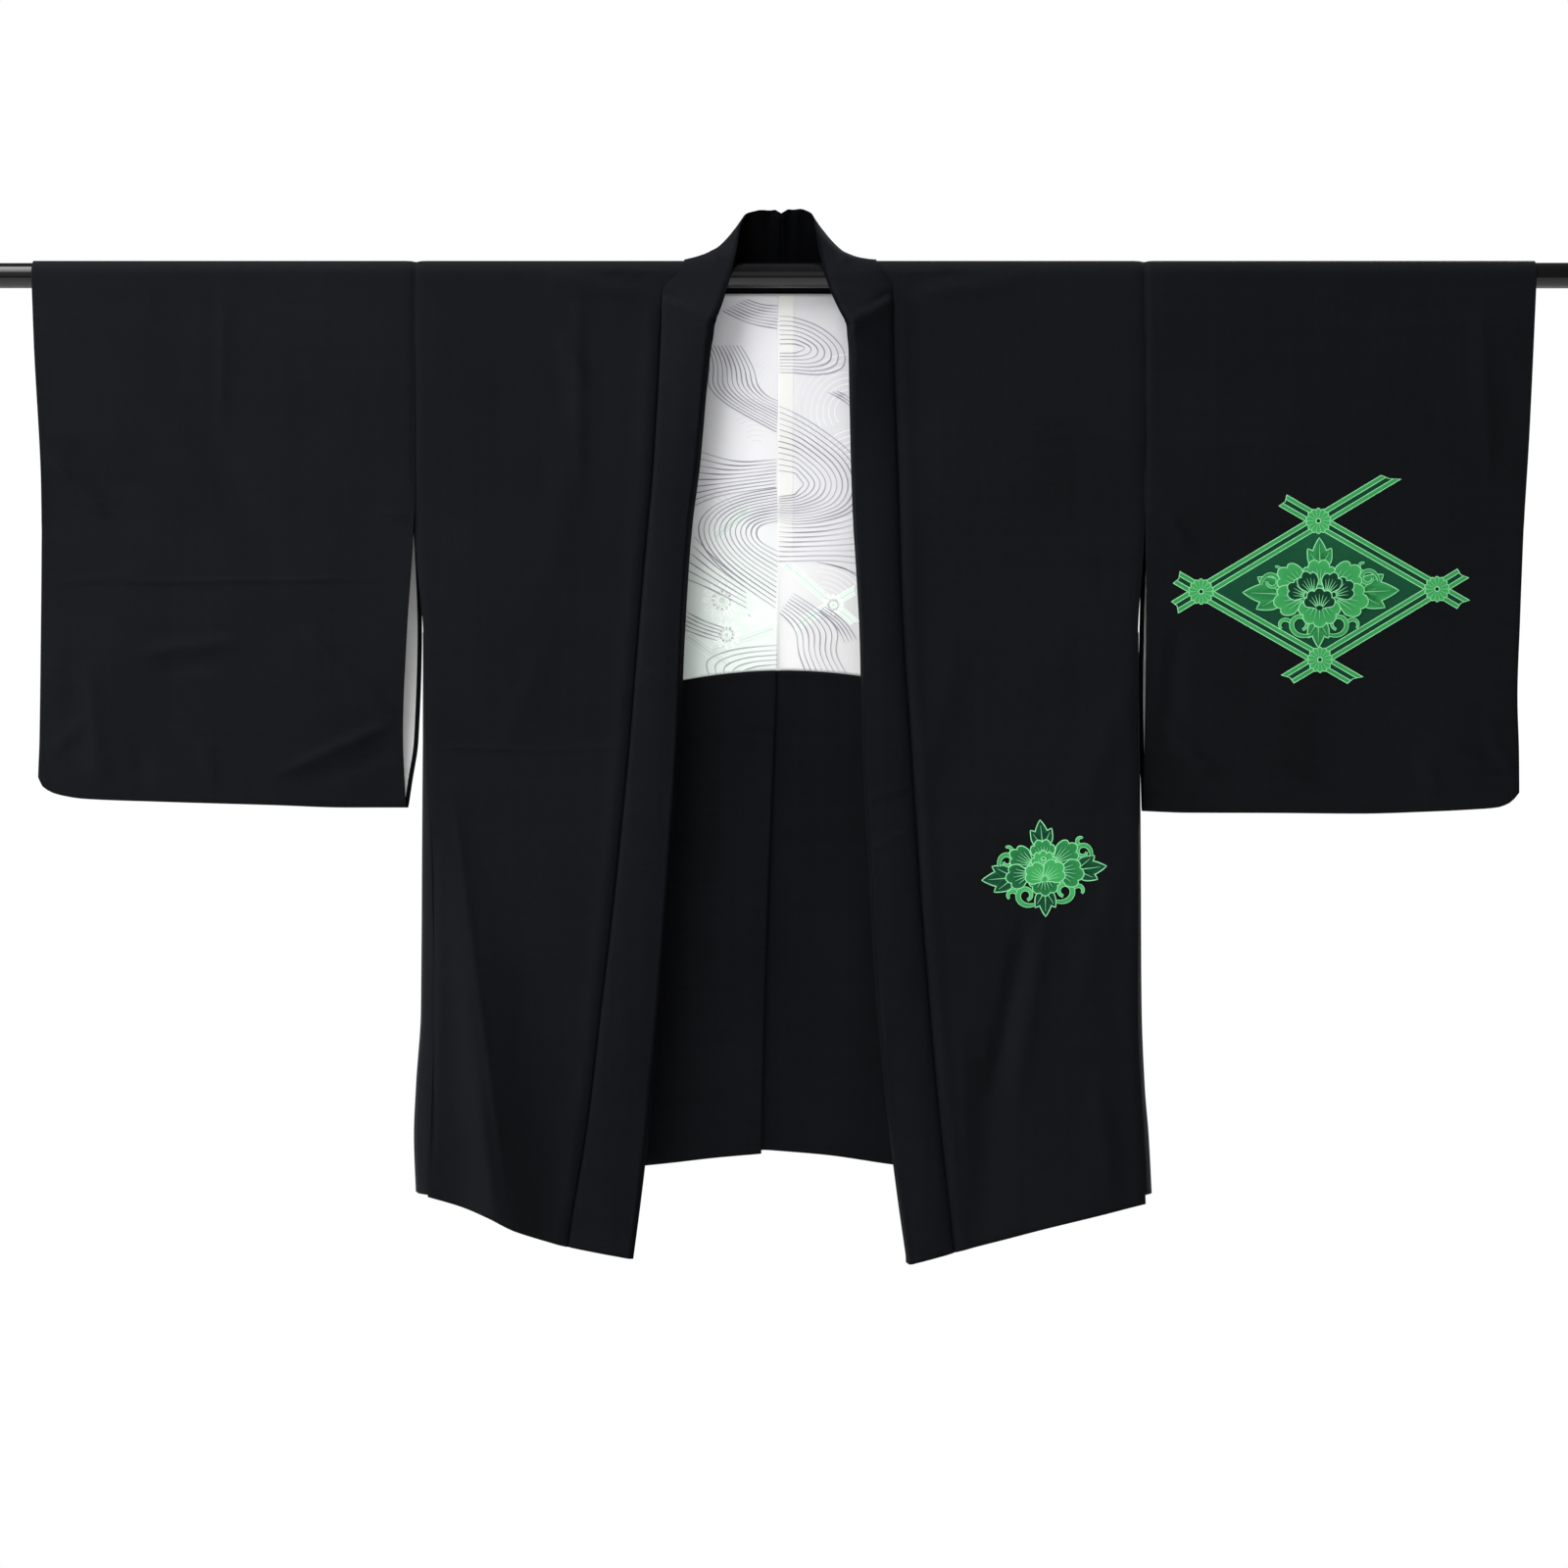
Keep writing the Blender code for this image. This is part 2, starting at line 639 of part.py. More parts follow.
def sleeve_lining(side):
    """A skin in the sleeve's body-side opening: down the front, round the bottom, up the back."""
    skins = []
    top = ARMHOLE_DROP + 0.004
    for depth in (GAP, GAP + LINING):
        legs = []
        for layer in ("front", "back"):
            x, half, drop = sleeve_layer(side, layer, CLOTH)
            rows = int((drop[:, 0] > top).sum())
            x, half, drop = (between(part[:rows], [0.04, 1, 2, 3], 1) for part in (x, half, drop))
            half = half - depth
            drop[0] -= depth
            legs.append(np.stack([x, half if layer == "back" else -half, -drop], axis=2))
        skins.append(np.concatenate([legs[1][::-1], legs[0]]))
    index = np.arange(skins[0][..., 0].size).reshape(skins[0].shape[:2])
    outer, inner = (skin.reshape(-1, 3) for skin in skins)
    return wall("sleeve_lining_" + side, "lining_cloth", outer, inner, grid_faces(index))


def rod():
    """The round rod with a small rounded edge at each flat end."""
    bevel = 0.0008
    half = ROD_LENGTH / 2
    flat = ROD_RADIUS - bevel
    profile = [(-half, flat), (-half + bevel, ROD_RADIUS), (half - bevel, ROD_RADIUS), (half, flat)]
    angle = np.linspace(0, 2 * np.pi, ROD_FACETS, endpoint=False)
    rings = [flat_points(x, radius * np.cos(angle), radius * np.sin(angle)) for x, radius in profile]
    index = np.arange(len(rings) * ROD_FACETS).reshape(len(rings), ROD_FACETS)
    index = np.concatenate([index, index[:, :1]], axis=1)
    faces = grid_faces(index)[:, ::-1].tolist()
    faces.append(index[0, :-1][::-1].tolist())
    faces.append(index[-1, :-1].tolist())
    return solid("rod", "rod_metal", np.concatenate(rings), faces)


rod()
lining_top, seam_gap = (drop / FACING_TOP_DROP * LINED_ROWS for drop in (LINING_TOP_DROP, GAP))
for side in SIDES:
    body_panel(side)
    sleeve(side)
    gusset(side)
    collar(side)
    back_skin("back_lining_" + side, "lining_cloth", side, lining_top, LINED_ROWS - seam_gap)
    back_skin("back_facing_" + side, "facing_cloth", side, LINED_ROWS, LINED_ROWS + FACED_ROWS)
    sleeve_lining(side)
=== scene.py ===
"""Haori jacket hanging on a round rod: cloth, linings, dyed motifs, rod, floor, lights and camera.

Metres, +Z up. The front of the jacket faces -Y. "right" and "left" are the
wearer's, so the right side is at -X. Tables are in millimetres; "drop" is the
distance below the rod's axis. Every surface is a height y over (x, drop).
"""

import bpy
import numpy as np
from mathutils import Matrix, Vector


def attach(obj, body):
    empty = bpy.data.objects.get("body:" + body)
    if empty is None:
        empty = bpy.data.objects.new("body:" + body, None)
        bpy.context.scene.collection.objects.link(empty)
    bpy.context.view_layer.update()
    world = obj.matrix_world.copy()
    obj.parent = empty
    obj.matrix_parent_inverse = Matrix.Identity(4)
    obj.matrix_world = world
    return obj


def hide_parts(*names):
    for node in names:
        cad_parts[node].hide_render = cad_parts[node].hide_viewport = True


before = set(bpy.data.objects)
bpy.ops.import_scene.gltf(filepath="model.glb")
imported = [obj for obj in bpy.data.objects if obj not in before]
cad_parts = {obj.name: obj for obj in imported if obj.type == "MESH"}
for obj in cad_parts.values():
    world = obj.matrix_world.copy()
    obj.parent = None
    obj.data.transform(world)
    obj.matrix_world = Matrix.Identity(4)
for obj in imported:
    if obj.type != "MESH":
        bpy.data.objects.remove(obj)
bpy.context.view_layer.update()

# The rod, the clearance between pieces, and half the clearance where the two halves meet.
ROD_RADIUS = 0.011
GAP = 0.0003
LAP = 0.00015
# The room that the outer cloth and the lining take up, and how thick their silk itself is.
CLOTH = 0.0014
LINING = 0.0010
SILK = 0.0006
COLLAR_SILK = 0.0018
# The collar band's whole width, and how far its rolled corner reaches past its free edge.
COLLAR_WIDTH = 0.057
ROLL_SHOWN = 0.0026
# Where the seams and openings lie.
SIDES = {"right": -1, "left": 1}
SHOULDER_X = {"right": -0.0862, "left": 0.0800}
SLEEVE_SEAM_X = {"right": -0.3190, "left": 0.3120}
ARMHOLE_DROP = 0.213
WRIST_OPENING_DROP = 0.215
GUSSET_TOP_DROP = 0.310
GUSSET_FOOT_DROP = 0.795
# The grooves pressed along the seams, by depth and reach: the collar seam's hollow and the stitch line
# in it, then the armhole seam and the side seam below it, which share a reach.
SEAM_HOLLOW = 0.0018
HOLLOW_REACH = 0.0028
SEAM_STITCH = 0.0022
STITCH_REACH = 0.0011
ARMHOLE_GROOVE = 0.0010
SIDE_GROOVE = 0.0012
GROOVE_REACH = 0.0035
# How far above the armhole's foot its groove starts to change to the side seam's.
ARMHOLE_FADE = 0.012
# The collar seam's turnings, which show through the front panel: their rise, place and reach.
TURNING_RISE = 0.0011
TURNING_OFF = 0.010
TURNING_REACH = 0.005
# The centre back seam's groove: its depth, its place left of the seam, and its reach.
BACK_GROOVE = 0.0014
BACK_GROOVE_OFF = 0.0015
BACK_GROOVE_REACH = 0.0016
# Below this drop the cloth hangs freely; above it, it lies ever closer to the rod.
SETTLED_DROP = 0.06
OUTER_RADIUS = ROD_RADIUS + GAP + CLOTH
TO_BACK = np.array([0, 1, 0])


def table(columns, *rows):
    """A table of millimetres as named columns of metres."""
    return dict(zip(columns.split(), np.array(rows, float).T / 1000))


def chart(columns, *rows):
    """A table as named columns of plain numbers."""
    return dict(zip(columns.split(), np.array(rows, float).T))


def each(rows):
    """A table's rows, one after another."""
    return zip(*rows.values())


# The front panel: its side edge, the collar seam and the collar's free edge.
FRONT = {
    "right": table(
        "drop side seam free",
        (-10, -318.8, -86.2, -40.0),
        (-5, -318.8, -87.6, -44.0),
        (0, -318.8, -91.0, -47.0),
        (7, -318.8, -98.2, -51.0),
        (13, -318.8, -103.6, -54.5),
        (46, -318.8, -105.5, -61.5),
        (100, -318.8, -108.2, -67.9),
        (165, -318.8, -112.3, -74.0),
        (213, -319.2, -116.5, -80.3),
        (247, -317.4, -119.6, -83.3),
        (310, -311.4, -124.9, -87.0),
        (408, -308.6, -132.8, -91.2),
        (526, -303.6, -144.4, -99.4),
        (637, -302.0, -157.2, -107.8),
        (735, -304.4, -168.9, -117.0),
        (800, -307.0, -179.4, -124.2),
        (850, -308.0, -187.4, -130.6),
    ),
    "left": table(
        "drop side seam free",
        (-10, 311.9, 80.0, 32.0),
        (-5, 311.9, 81.2, 36.0),
        (0, 311.9, 84.2, 39.0),
        (7, 311.9, 89.6, 43.0),
        (13, 311.9, 92.6, 47.5),
        (46, 311.9, 93.6, 56.2),
        (100, 311.9, 95.2, 57.6),
        (165, 311.9, 97.5, 59.2),
        (213, 311.9, 99.0, 61.0),
        (247, 310.0, 99.9, 63.2),
        (310, 305.6, 102.5, 66.6),
        (408, 304.6, 108.8, 69.0),
        (526, 304.8, 116.5, 74.8),
        (637, 303.6, 125.0, 81.6),
        (735, 308.4, 133.8, 91.3),
        (800, 311.4, 141.0, 99.4),
        (850, 312.4, 146.8, 106.6),
    ),
}

# The back panel's side edge and the furthest point of the side gusset's bulge.
BACK = {
    "right": table(
        "drop side bulge",
        (0, -318.8, -318.8),
        (213, -318.8, -318.8),
        (310, -312.6, -313.2),
        (460, -311.6, -314.0),
        (637, -310.6, -315.2),
        (703, -313.0, -319.6),
        (745, -315.0, -321.3),
        (800, -316.0, -319.2),
    ),
    "left": table(
        "drop side bulge",
        (0, 311.9, 311.9),
        (213, 311.9, 311.9),
        (310, 306.6, 307.6),
        (460, 307.2, 309.4),
        (637, 307.6, 310.8),
        (703, 310.0, 313.4),
        (745, 313.0, 316.8),
        (800, 315.6, 319.8),
    ),
}

# The hem: its drop at each place across the front, and across the back.
FRONT_HEM = {
    "right": table("x drop", (-320, 794), (-306, 797), (-254, 813), (-230, 825), (-186, 840), (-130, 853)),
    "left": table("x drop", (107, 855), (147, 845), (221, 825), (285, 809), (310, 803), (320, 801)),
}
BACK_HEM = {
    "right": table("x drop", (-320, 793), (-220, 785), (-119, 774), (-60, 767), (-19, 763)),
    "left": table("x drop", (-19, 760), (40, 765), (99, 774), (210, 785), (320, 793)),
}
CENTRE_BACK = table("drop x", (0, -2.5), (340, -6.8), (480, -11.9), (640, -17.4), (800, -20.6))

# The sleeve: its outer edge, and the body-side edges of its two layers.
SLEEVE = {
    "right": table(
        "drop outer front back",
        (-13, -650.8, -319.1, -319.1),
        (60, -648.4, -319.1, -319.1),
        (184, -643.6, -319.1, -319.1),
        (213, -643.6, -319.5, -319.1),
        (247, -643.8, -321.3, -317.4),
        (310, -644.4, -325.6, -315.2),
        (403, -645.6, -329.6, -317.8),
        (440, -646.8, -328.4, -323.0),
        (463, -645.6, -327.3, -326.3),
    ),
    "left": table(
        "drop outer front back",
        (-13, 651.0, 312.2, 312.2),
        (60, 648.0, 312.2, 312.2),
        (157, 644.2, 312.2, 312.2),
        (213, 641.6, 312.2, 312.2),
        (300, 638.2, 312.6, 309.6),
        (366, 636.0, 312.2, 308.6),
        (417, 637.4, 311.6, 309.2),
        (450, 637.6, 311.2, 310.0),
        (467, 637.0, 311.0, 310.4),
    ),
}
SLEEVE_BOTTOM = {
    "right": table(
        "x drop",
        (-647, 435),
        (-642, 444),
        (-630, 450),
        (-606, 454),
        (-540, 456.5),
        (-440, 459.5),
        (-380, 461.5),
        (-319, 461.5),
    ),
    "left": table(
        "x drop",
        (310, 464.5),
        (350, 466),
        (420, 466.2),
        (500, 466.8),
        (560, 465),
        (600, 463),
        (618, 461.5),
        (630, 457),
        (638, 448),
    ),
}
# Half the space from the front layer's outer face to the back one's.
SLEEVE_HALF = table(
    "drop body middle wrist",
    (0, 12.7, 12.7, 12.7),
    (60, 13.2, 12.0, 11.6),
    (130, 14.0, 10.8, 8.6),
    (190, 14.8, 9.6, 3.8),
    (213, 15.1, 9.2, 2.3),
    (300, 14.6, 8.2, 2.2),
    (400, 9.4, 5.6, 2.2),
    (440, 5.4, 3.8, 2.2),
    (470, 3.4, 2.8, 2.2),
)
# How far the body's layers swing out from the rod as they hang.
BODY_SPREAD = table(
    "drop front back",
    (0, 0, 0),
    (213, 2.4, 2.4),
    (310, 4.4, 4.0),
    (500, 7.6, 6.8),
    (860, 12.4, 10.4),
)

# How each panel's rows are laid, in metres of drop: the longest row, the last level one, a first guess
# at the foot, how many there are, and the lines about which more are packed.
ROWS = {
    "front": dict(longest=0.86, level=0.70, foot=0.83, count=161, packed=(0.4137, 0.4105), reach=0.006),
    "back": dict(longest=0.80, level=0.66, foot=0.78, count=156, packed=(0.397,), reach=0.006),
    "sleeve": dict(longest=0.47, level=0.36, foot=0.46, count=120, packed=(0.266, 0.47), reach=0.012),
}

# The uneven hang of soft silk, in long waves: a turn in radians, a length and a height in millimetres.
HANG_WAVES = chart("turn length height", (0.4, 210, 0.45), (1.9, 150, 0.35), (2.7, 97, 0.22), (1.2, 71, 0.14))

# Large soft folds: where each runs (top and foot), how far it stands out and how wide it is.
FOLD = "x_top drop_top x_foot drop_foot height half_width"
FOLDS = {
    "front_right": table(
        FOLD,
        (-291, 400, -245, 815, 19, 25),
        (-216, 440, -212, 830, -3, 40),
    ),
    "front_left": table(
        FOLD,
        (203, 540, 172, 780, -4, 22),
        (262, 560, 268, 820, 3, 30),
    ),
    "back": table(
        FOLD,
        (-160, 300, -176, 790, 5, 34),
        (-86, 360, -92, 780, -4, 26),
        (128, 320, 150, 790, 5, 34),
        (66, 380, 52, 780, -3, 26),
    ),
    "sleeve_right": table(
        FOLD,
        (-450, 300, -360, 470, 2.5, 26),
        (-560, 200, -600, 440, 1.5, 30),
    ),
    "sleeve_left": table(
        FOLD,
        (470, 240, 420, 460, 1.8, 30),
        (560, 220, 585, 450, 1.5, 26),
    ),
}

# The collar's free edge round the neck, by the distance sewn from the centre back.
COLLAR_NECK = {
    "right": table(
        "sewn x y z",
        (0, -3.0, 16.0, 54.3),
        (5, -5.2, 16.3, 55.2),
        (12, -8.5, 17.0, 57.5),
        (32, -21, 16.0, 57.2),
        (52, -31, 12.5, 54.5),
        (68, -36.2, 7.5, 49.0),
        (80, -38.8, 2.5, 41.5),
        (92, -40.6, -2.5, 33.0),
        (103, -42.2, -7.5, 23.5),
        (113, -44.4, -12.5, 13.0),
        (122, -47.0, -16.5, 1.5),
        (131, -50.4, -20.0, -11.0),
        (140, -55.0, -23.5, -26.5),
        (152, -60.8, -26.5, -45.0),
        (170, -62.6, -25.5, -62.0),
    ),
    "left": table(
        "sewn x y z",
        (0, -2.0, 16.0, 54.3),
        (5, 0.6, 16.3, 55.4),
        (12, 4.5, 17.0, 58.0),
        (30, 14.5, 16.0, 58.2),
        (49, 22.5, 12.5, 54.8),
        (66, 26.6, 7.5, 48.5),
        (77, 28.6, 2.5, 40.5),
        (88, 30.4, -2.5, 31.5),
        (99, 32.4, -7.5, 20.5),
        (109, 34.8, -12.5, 9.0),
        (118, 37.6, -16.5, -2.5),
        (126, 41.6, -20.0, -14.5),
        (135, 48.0, -23.5, -29.5),
        (148, 55.0, -26.5, -45.0),
        (166, 56.0, -25.5, -62.0),
    ),
}

# What each piece was cut to, as far as it shows: width, length and area, in metres. They are worked out
# from the measured edges and the usual cut, but the gusset's comes from the area of its modelled shape.
CUTS = {
    "body": (0.317, 1.66, 0.42),
    "sleeve": (0.334, 0.97, 0.31),
    "gusset": (0.052, 0.486, 0.0205),
    "collar": (0.060, 0.94, 0.054),
    "back_lining": (0.317, 0.332, 0.102),
    "back_facing": (0.312, 0.445, 0.128),
    "sleeve_lining": (0.085, 0.52, 0.042),
}

# Narrow creases: a ridge (or, with a minus, a trough) from one end to the other.
CREASE = "x_a drop_a x_b drop_b height half_width"
CREASES = {
    "front_right": table(
        CREASE,
        (-300, 409, -200, 412, 0.7, 2.6),
        (-215, 412, -138, 409, 0.5, 2.6),
        (-192, 48, -171, 100, 1.8, 6),
        (-164, -7, -108, 11, -1.7, 2.4),
        (-210, 2, -112, 21, 2.0, 6),
        (-206, 60, -186, 130, -1.0, 7),
        (-290, 418, -235, 812, 1.5, 2.6),
        (-302, 460, -301.5, 800, -2.2, 2.6),
        (-262, 700, -249, 812, 1.2, 5),
        (-178, -10, -176, 210, 1.2, 4),
        (-170, 70, -214, 320, 1.1, 12),
        (-196, 300, -246, 420, 1.0, 9),
        (-140, 353, -90, 351, 1.0, 2.0),
        (-190, 700, -176, 830, 1.4, 10),
    ),
    "front_left": table(
        CREASE,
        (166, -6, 104, 10, -1.6, 2.4),
        (220, 4, 106, 20, 1.8, 6),
        (124, 446, 200, 452, 0.9, 2.6),
        (118, 488, 182, 484, 0.8, 2.6),
        (212, 545, 174, 725, -3.0, 8),
        (228, 540, 196, 735, 1.8, 8),
        (292, 500, 246, 650, 1.4, 11),
        (302, 350, 252, 470, 1.4, 12),
        (150, 300, 120, 470, 1.0, 10),
        (270, 690, 282, 806, 1.6, 9),
        (152, 640, 160, 828, 1.5, 8),
    ),
    "back": table(
        CREASE,
        (-300, 395, -190, 400, 1.0, 3),
        (-60, 396, 60, 399, 0.8, 3),
        (180, 398, 296, 392, 1.0, 3),
        (-150, 30, -60, 8, 2.0, 6),
        (140, 30, 60, 8, 1.8, 6),
        (-196, 60, -176, 190, -1.2, 8),
        (206, 70, 190, 220, -1.1, 9),
        (-250, 470, -236, 770, 2.4, 11),
        (240, 460, 232, 780, 2.0, 12),
        (-120, 520, -108, 760, -1.8, 9),
        (150, 610, 158, 775, 1.5, 8),
        (-290, 330, -240, 520, 1.2, 10),
        (296, 340, 250, 470, 1.1, 11),
    ),
    "sleeve_right": table(
        CREASE,
        (-646, 150, -580, 214, 2.2, 5),
        (-630, 140, -560, 196, -1.2, 8),
        (-610, 266, -340, 264, 0.8, 2.8),
        (-640, 268, -540, 258, 0.6, 3.5),
        (-566, 330, -462, 316, 2.0, 5),
        (-545, 342, -480, 336, -1.2, 6),
        (-425, 300, -332, 386, 2.4, 6),
        (-448, 438, -330, 384, 3.0, 4.5),
        (-410, 440, -332, 408, -2.0, 8),
        (-482, -2, -486, 130, 1.2, 4),
        (-520, 100, -430, 290, -1.8, 15),
        (-606, 330, -588, 455, 1.8, 8),
        (-506, 400, -490, 458, 1.5, 7),
        (-560, 395, -552, 457, -1.2, 6),
        (-347, 203, -324, 214, 2.0, 3.5),
        (-640, 420, -600, 380, 1.4, 6),
    ),
    "sleeve_left": table(
        CREASE,
        (322, 380, 376, 438, 2.0, 6),
        (341, 290, 328, 430, -1.8, 8),
        (376, 400, 478, 452, 1.6, 7),
        (516, 374, 626, 436, 1.6, 8),
        (420, 110, 606, 152, 0.9, 11),
        (600, 10, 612, 190, 1.2, 8),
        (556, 410, 566, 465, 1.4, 7),
        (330, 205, 350, 240, 1.3, 5),
        (640, 440, 606, 390, 1.2, 6),
    ),
}

# Creases across the collar band, placed by the distance sewn and the distance from its seam.
COLLAR_CREASES = {
    "right": table(
        "sewn_a in_a sewn_b in_b height half_width",
        (84, 26, 118, 30, 1.6, 5),
        (470, 2, 474, 60, 1.7, 2.4),
        (610, 0, 632, 60, 0.8, 6),
        (250, 0, 300, 60, 0.5, 14),
        (760, 10, 840, 50, 0.8, 14),
    ),
    "left": table(
        "sewn_a in_a sewn_b in_b height half_width",
        (80, 24, 114, 30, 1.8, 5),
        (570, 0, 566, 60, 1.6, 2.4),
        (606, 2, 614, 60, 1.0, 2.4),
        (420, 0, 470, 60, 0.6, 14),
        (700, 10, 790, 50, 0.7, 14),
    ),
}
NECK_CREASE = {"right": 0.152, "left": 0.148}

# The gathers of the standing collar behind the neck: each a small upright fold.
NECK_GATHERS = table(
    "x height half_width",
    (-24, 0.9, 4.0),
    (-13.5, -2.0, 2.4),
    (-5.0, 3.2, 3.6),
    (4.0, -2.4, 2.4),
    (10.5, 1.2, 2.6),
    (18, -0.8, 3.0),
)

# The dyed flowers, in millimetres right of and above the flower's middle. Turns are anticlockwise
# from the right, tones run from 0, deepest, to 1, palest, and rows go from back to front.
SLEEVE_PETALS = chart(
    "right up turn length spread lobes root_tone edge_tone",
    (0, -2, 90, 29, 46, 4, 0.36, 0.70),
    (-7, -1, 146, 34, 34, 3, 0.34, 0.70),
    (7, -1, 36, 35, 34, 3, 0.38, 0.70),
    (-9, -5, 190, 31, 40, 3, 0.34, 0.70),
    (9, -5, -10, 34, 40, 3, 0.38, 0.72),
    (0, -5, 270, 27, 70, 5, 0.34, 0.70),
    (-8, -6, 150, 22, 40, 3, 0.02, 0.13),
    (9, -6, 30, 24, 40, 3, 0.02, 0.13),
    (-4, -6, 112, 24, 36, 3, 0.02, 0.13),
    (5, -6, 66, 23, 36, 3, 0.02, 0.13),
    (0, -18, 90, 20, 72, 5, 0.01, 0.11),
)
SLEEVE_LEAVES = chart(
    "right up turn length middle_tone edge_tone",
    (1, 20, 91, 25, 0.44, 0.60),
    (-32, -3, 177, 34, 0.42, 0.60),
    (34, -2, 2, 35, 0.46, 0.62),
    (-1, -27, 269, 22, 0.42, 0.58),
)
SLEEVE_SCROLLS = chart(
    "right up turn length curl width root_tone tip_tone",
    (-51, 4, 78, 38, -345, 2.6, 0.56, 0.76),
    (52, 6, 100, 38, 345, 2.6, 0.56, 0.76),
    (-6, -38, 196, 50, -350, 3.2, 0.56, 0.82),
    (6, -38, -16, 48, 350, 3.2, 0.56, 0.82),
)

# The diamond round the sleeve's flower: its half width and half height. Its ribbons: the corners each
# joins, whether it rises or falls, how far it runs on past them, and the lean of its two ends.
DIAMOND = np.array([102.5, 60.0])
DIAMOND_RIBBONS = chart(
    "first last rise before after first_lead last_lead",
    (0, 1, 1, 27, 74, 0, -1.1),
    (1, 2, -1, 36, 27, 0.1, 0.5),
    (0, 3, -1, 25, 36, 0, 0.75),
    (3, 2, 1, 33, 27, -0.5, -0.4),
)

FRONT_PETALS = chart(
    "right up turn length spread lobes root_tone edge_tone",
    (0, 4, 91, 22, 48, 4, 0.16, 0.56),
    (-6, 1, 147, 28, 34, 3, 0.08, 0.44),
    (6, 2, 36, 30, 34, 3, 0.12, 0.54),
    (-9, -4, 188, 26, 40, 3, 0.08, 0.36),
    (9, -3, -10, 27, 44, 3, 0.12, 0.54),
    (0, -5, 270, 20, 76, 5, 0.04, 0.46),
    (0, -7, 90, 23, 46, 5, 0.66, 0.70),
    (3, -12, 146, 23, 42, 3, 0.64, 0.70),
    (-3, -12, 36, 25, 42, 3, 0.64, 0.72),
    (0, 6, 90, 4, 50, 1, 0.00, 0.10),
)
FRONT_LEAVES = chart(
    "right up turn length middle_tone edge_tone",
    (0, 20, 93, 23, 0.14, 0.28),
    (-28, -7, 182, 28, 0.14, 0.30),
    (30, -3, 4, 26, 0.14, 0.30),
    (0, -21, 268, 22, 0.12, 0.26),
)
FRONT_SCROLLS = chart(
    "right up turn length curl width root_tone tip_tone",
    (-40, 2, 96, 35, -350, 3.2, 0.60, 0.82),
    (43, 7, 84, 35, 350, 3.2, 0.60, 0.82),
    (-9, -32, 192, 44, -350, 3.8, 0.60, 0.84),
    (8, -30, -14, 46, 350, 3.8, 0.60, 0.84),
)


def bundle(count, tone, *rows):
    """A bundle of water lines: how many, their tone (1 is white), and its two edges, a and b, as
    matching points (x, up) in metres."""
    edges = table("xa da xb db", *rows)
    return count, tone, [np.stack([edges["x" + end], -edges["d" + end]], axis=1) for end in "ab"]


# The lining's water lines, as the x and the drop of matching points on each bundle's two edges.
WATER = {
    "right": (
        bundle(8, 0.3, (-33, 19, -54, 29), (-19, 24, -31, 40), (-4, 25, -4, 45)),
        bundle(
            11,
            0.2,
            (-38, 59, -71, 59),
            (-32, 69, -66, 70),
            (-26, 81, -65, 81),
            (-24, 91, -66, 92),
            (-21, 97, -60, 102),
            (-14, 104, -43, 115),
            (-4, 108, -4, 136),
        ),
        bundle(9, 0.3, (-72, 152, -80, 200), (-40, 161, -57, 190), (-4, 158, -4, 182)),
        bundle(
            12,
            0.2,
            (-4, 212, -4, 183),
            (-16, 214, -41, 190),
            (-23, 218, -67, 203),
            (-24, 225, -75, 223),
            (-18, 232, -56, 253),
            (-4, 239, -4, 290),
        ),
        bundle(6, 0.1, (-78, 226, -86, 262), (-57, 248, -62, 272), (-33, 266, -32, 288)),
        bundle(5, 0.1, (-85, 291, -88, 306), (-70, 299, -72, 312), (-52, 305, -58, 316)),
        bundle(
            5,
            0.4,
            (-4, 320, -4, 337),
            (-40, 323, -20, 338),
            (-62, 330, -32, 341),
            (-68, 338, -38, 346),
            (-62, 353, -34, 354),
        ),
    ),
    "left": (
        bundle(
            7,
            0.2,
            (-5, 34, -5, 58),
            (9, 35, 9, 58),
            (31, 43, 12, 59),
            (47, 56, 16, 60),
            (53, 68, 18, 62),
            (50, 80, 15, 64),
            (30, 85, 12, 65),
            (9, 83, 9, 66),
            (-5, 83, -5, 66),
        ),
        bundle(
            12,
            0.2,
            (-5, 112, -5, 168),
            (9, 118, 9, 170),
            (31, 131, 12, 173),
            (60, 154, 15, 177),
            (71, 180, 17, 180),
            (62, 202, 14, 184),
            (36, 212, 11, 187),
            (9, 215, 9, 189),
            (-5, 212, -5, 191),
        ),
        bundle(8, 0.4, (-5, 217, -5, 247), (9, 218, 9, 247), (40, 216, 40, 246), (70, 206, 70, 250)),
        bundle(2, 0.2, (29, 248, 40, 250), (45, 251, 55, 254), (64, 258, 68, 264)),
        bundle(3, 0.2, (38, 100, 46, 99), (50, 106, 54, 103), (60, 114, 62, 109)),
        bundle(
            8,
            0.2,
            (8, 275, -4, 292),
            (28, 288, 2, 297),
            (41, 299, 7, 303),
            (47, 310, 11, 311),
            (45, 322, 12, 322),
            (47, 332, 14, 331),
            (55, 346, 20, 346),
        ),
        bundle(4, 0.1, (34, 286, 30, 291), (48, 295, 42, 300), (57, 305, 49, 309), (63, 315, 53, 318)),
    ),
}

# Faint ripples woven into the lining, in millimetres and degrees: arcs about a middle, whose radii run
# from the first to the last.
RIPPLES = {
    "right": chart(
        "x drop first last count start end",
        (-2, 96, 8, 30, 7, 105, 205),
        (-24, 152, 10, 46, 9, 62, 118),
        (-70, 214, 12, 34, 6, 20, 80),
    ),
    "left": chart(
        "x drop first last count start end",
        (58, 117, 14, 50, 8, 95, 215),
        (66, 176, 14, 44, 7, 80, 130),
        (30, 296, 14, 44, 8, 40, 88),
    ),
}

